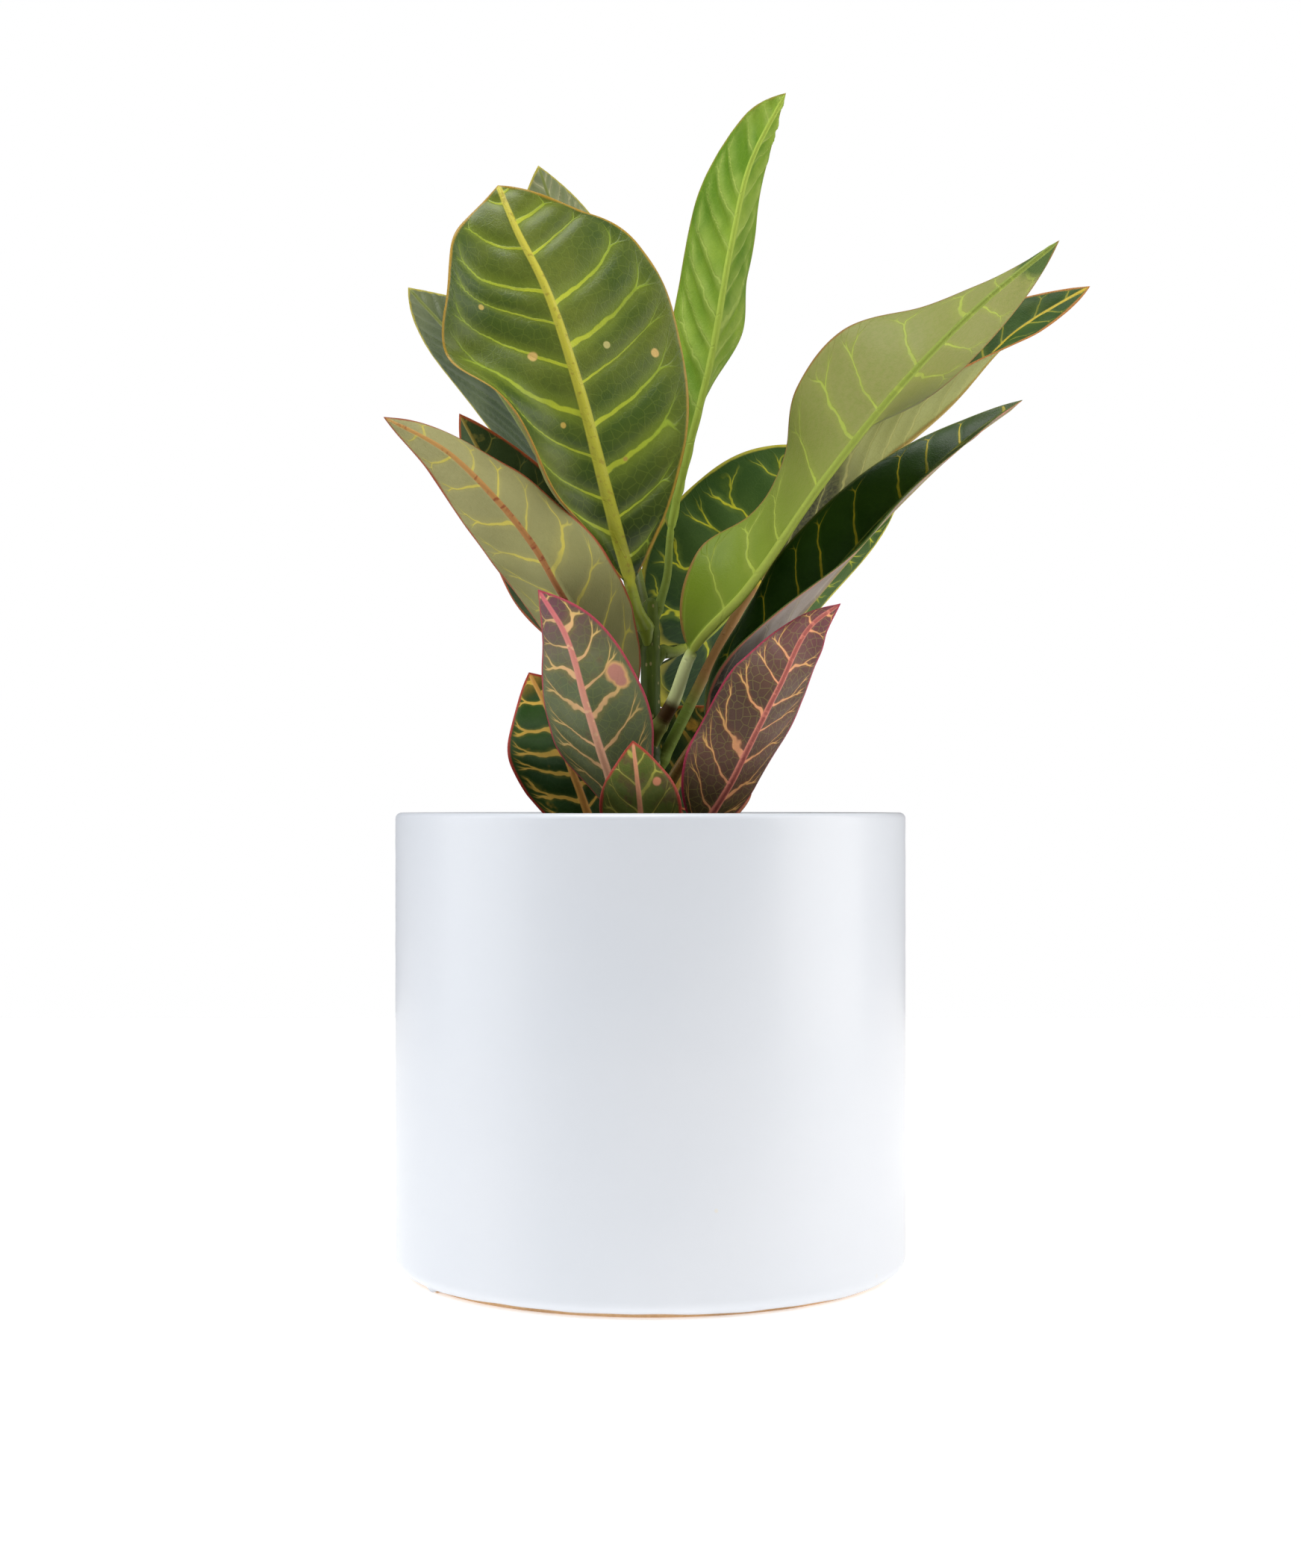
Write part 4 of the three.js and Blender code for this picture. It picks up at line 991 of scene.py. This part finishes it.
# Underside of an old leaf: matt dull maroon with reddish veins
MAROON_UNDER = dict(
    ground=("#5a3a38", "#6f4a42"), vein=("#a8705a", 0.3, 0.7, 0.3), halo=("#8a5a4c", 1.4, 0.4),
    net=("#50302e", 2.2, 0.25), midrib=("#b0705c", 1.2), margin=("#8c2f2c", 0.5),
    petiole=("#8a5a40", "#5a4a28"), roughness=0.5,
)
grow_leaf(
    "leaf_low_left_front", seed=12, looks=(PINK_VEINED, MAROON_UNDER),
    line=[(-0.5, -3, 118.5), (-2.5, -12, 119.5), (-6.5, -20, 122.5), (-12, -30, 137.5), (-16.5, -34, 152),
          (-22.5, -35, 172), (-29.5, -32, 183.5)],
    width=16, widest=0.4, left=[58, 57, 49, 45, 46, 45, 40, 34, 45], right=[10, 10, 14, 14, 8, 3, 3, 5, 5],
    wave=(0.5, 2, 0), spacing=8.5, lean=0.5, bend=0.45, quilt=0.4,
)

# Leaf, right front: an old leaf with a pink midrib, forked laterals, a fine net between them and a red edge.
# It grew low on the stem, towards the viewer's right.

# Upper cuticle of an old leaf: reddish brown, purple at the tip, with salmon and cream veins
PURPLE_UPPER = dict(
    ground=("#563f33", "#6b4d40"), foot=("#4c4a28", 0.3, 0.05), tip=("#703f46", 0.6, 1.0),
    vein=("#f0a278", 0.36, 0.98, 0.2), vein_tip="#d8b060", halo=("#8a5a3c", 1.0, 0.5),
    net=("#94904a", 2.3, 0.3), fork=0.45, zigzag=3.8, midrib=("#d98470", 1.0), groove="#944a48",
    margin=("#a02c48", 0.34), petiole=("#a06a50", "#6a5a34"), roughness=0.45, gloss=0.26,
)
grow_leaf(
    "leaf_low_right_front", seed=13, looks=(PURPLE_UPPER, MAROON_UNDER),
    line=[(3, -1, 115), (7.5, -9, 115.5), (12, -18, 119), (20, -27, 130.5), (27.5, -31, 145.5),
          (34, -33, 158.5), (42.5, -32, 174.5), (50, -30, 180)],
    width=15.5, widest=0.45, base_power=3, left=[0, 0, 10, 23, 26, 26, 34, 48, 52],
    right=[58, 58, 61, 62, 61, 59, 51, 33, 40], wave=(0.6, 2, 0), spacing=9.5, lean=0.5, bend=0.45,
    quilt=0.4,
)

# Leaf, small, front centre, just above the rim: it grew low on the stem on a long petiole that first lies
# level and then turns up.

# Upper cuticle: dull olive with brown blotches of 9 mm, a pink midrib and a pink spot
PINK_MIDDLE = dict(
    ground=("#525e24", "#687032"), flush=("#5a3e2e", 0.65, 9, 0.52), vein=("#b0ac4c", 0.32, 0.8, 0.4),
    halo=("#7c7434", 1.4, 0.5), net=("#6b6a2e", 2.2, 0.3), spots=[(22.7, -5.0, 1.3, "#d08a68")],
    midrib=("#c98a66", 0.75), margin=("#9a3a2c", 0.5), petiole=("#8a5a40", "#5a4a28"), roughness=0.42,
    wax=0.12,
)
grow_leaf(
    "leaf_small_front", seed=14, looks=(PINK_MIDDLE, MAROON_UNDER),
    line=[(0, -3, 110.5), (-0.5, -20, 110.5), (-1.5, -38, 113), (-2.5, -47, 125), (-3.5, -49, 134.5),
          (-4.5, -47, 143.5)],
    width=10.5, widest=0.45, left=[10], right=[10], wave=(0.5, 2, 0), spacing=7.5, lean=0.9, bend=0.5,
)

# Leaf, low left: one of the oldest, with broad veins that run together and a red edge. Its petiole leaves
# the stem just above the soil.

# Upper cuticle: dark green, half covered by yellow-orange veins and blotches of 9 mm
ORANGE_VEINED = dict(
    ground=("#1f3c12", "#35541f"), tip=("#a8843a", 0.86, 1.0), flush=("#c09c3c", 0.85, 9, 0.6),
    vein=("#e0b650", 0.72, 0.98, 0.2), halo=("#7d7f30", 1.0, 0.5), net=("#41532a", 2.4, 0.2), fork=0.45,
    zigzag=4.5, midrib=("#d09a4c", 1.1), margin=("#a8382c", 0.5), petiole=("#8a7a3c", "#5a5a28"),
    roughness=0.4, wax=0.15,
)
grow_leaf(
    "leaf_low_left", seed=15, looks=(ORANGE_VEINED, DARK_UNDER),
    line=[(-3, -1, 109.5), (-8, -5, 111), (-13, -11, 116.5), (-20, -18, 133.5), (-26.5, -21, 150.5),
          (-32.5, -20, 162.5)],
    width=15.5, widest=0.55, base_power=2.5, left=[20, 18, 10], right=[20], wave=(0.5, 2, 0), spacing=7,
    lean=0.3, bend=0.3,
)

# Leaf, low, at the back, left: hidden by the others, it keeps the plant full when it is seen from behind.
# Its petiole leaves the stem below the middle.
grow_leaf(
    "leaf_low_back_left", seed=16, looks=(FLECKED, DARK_UNDER),
    line=[(-2, 2.5, 122), (-6, 10, 125), (-10, 20, 130), (-13, 35, 149), (-14, 47, 165)], width=13,
    widest=0.5, left=[15], right=[15], wave=(0.6, 2, 0), spacing=9,
)

# Leaf, low, at the back, right: hidden like the one before it. Its petiole leaves the stem just above the
# soil, and the blade leans far back.
grow_leaf(
    "leaf_low_back_right", seed=17, looks=(BLOTCHED, DARK_UNDER),
    line=[(2.5, 2, 114), (7, 9, 116), (11, 17, 120), (20, 36, 138), (27, 50, 152)], width=12, widest=0.5,
    left=[15], right=[15], wave=(0.6, 2, 0), spacing=9,
)
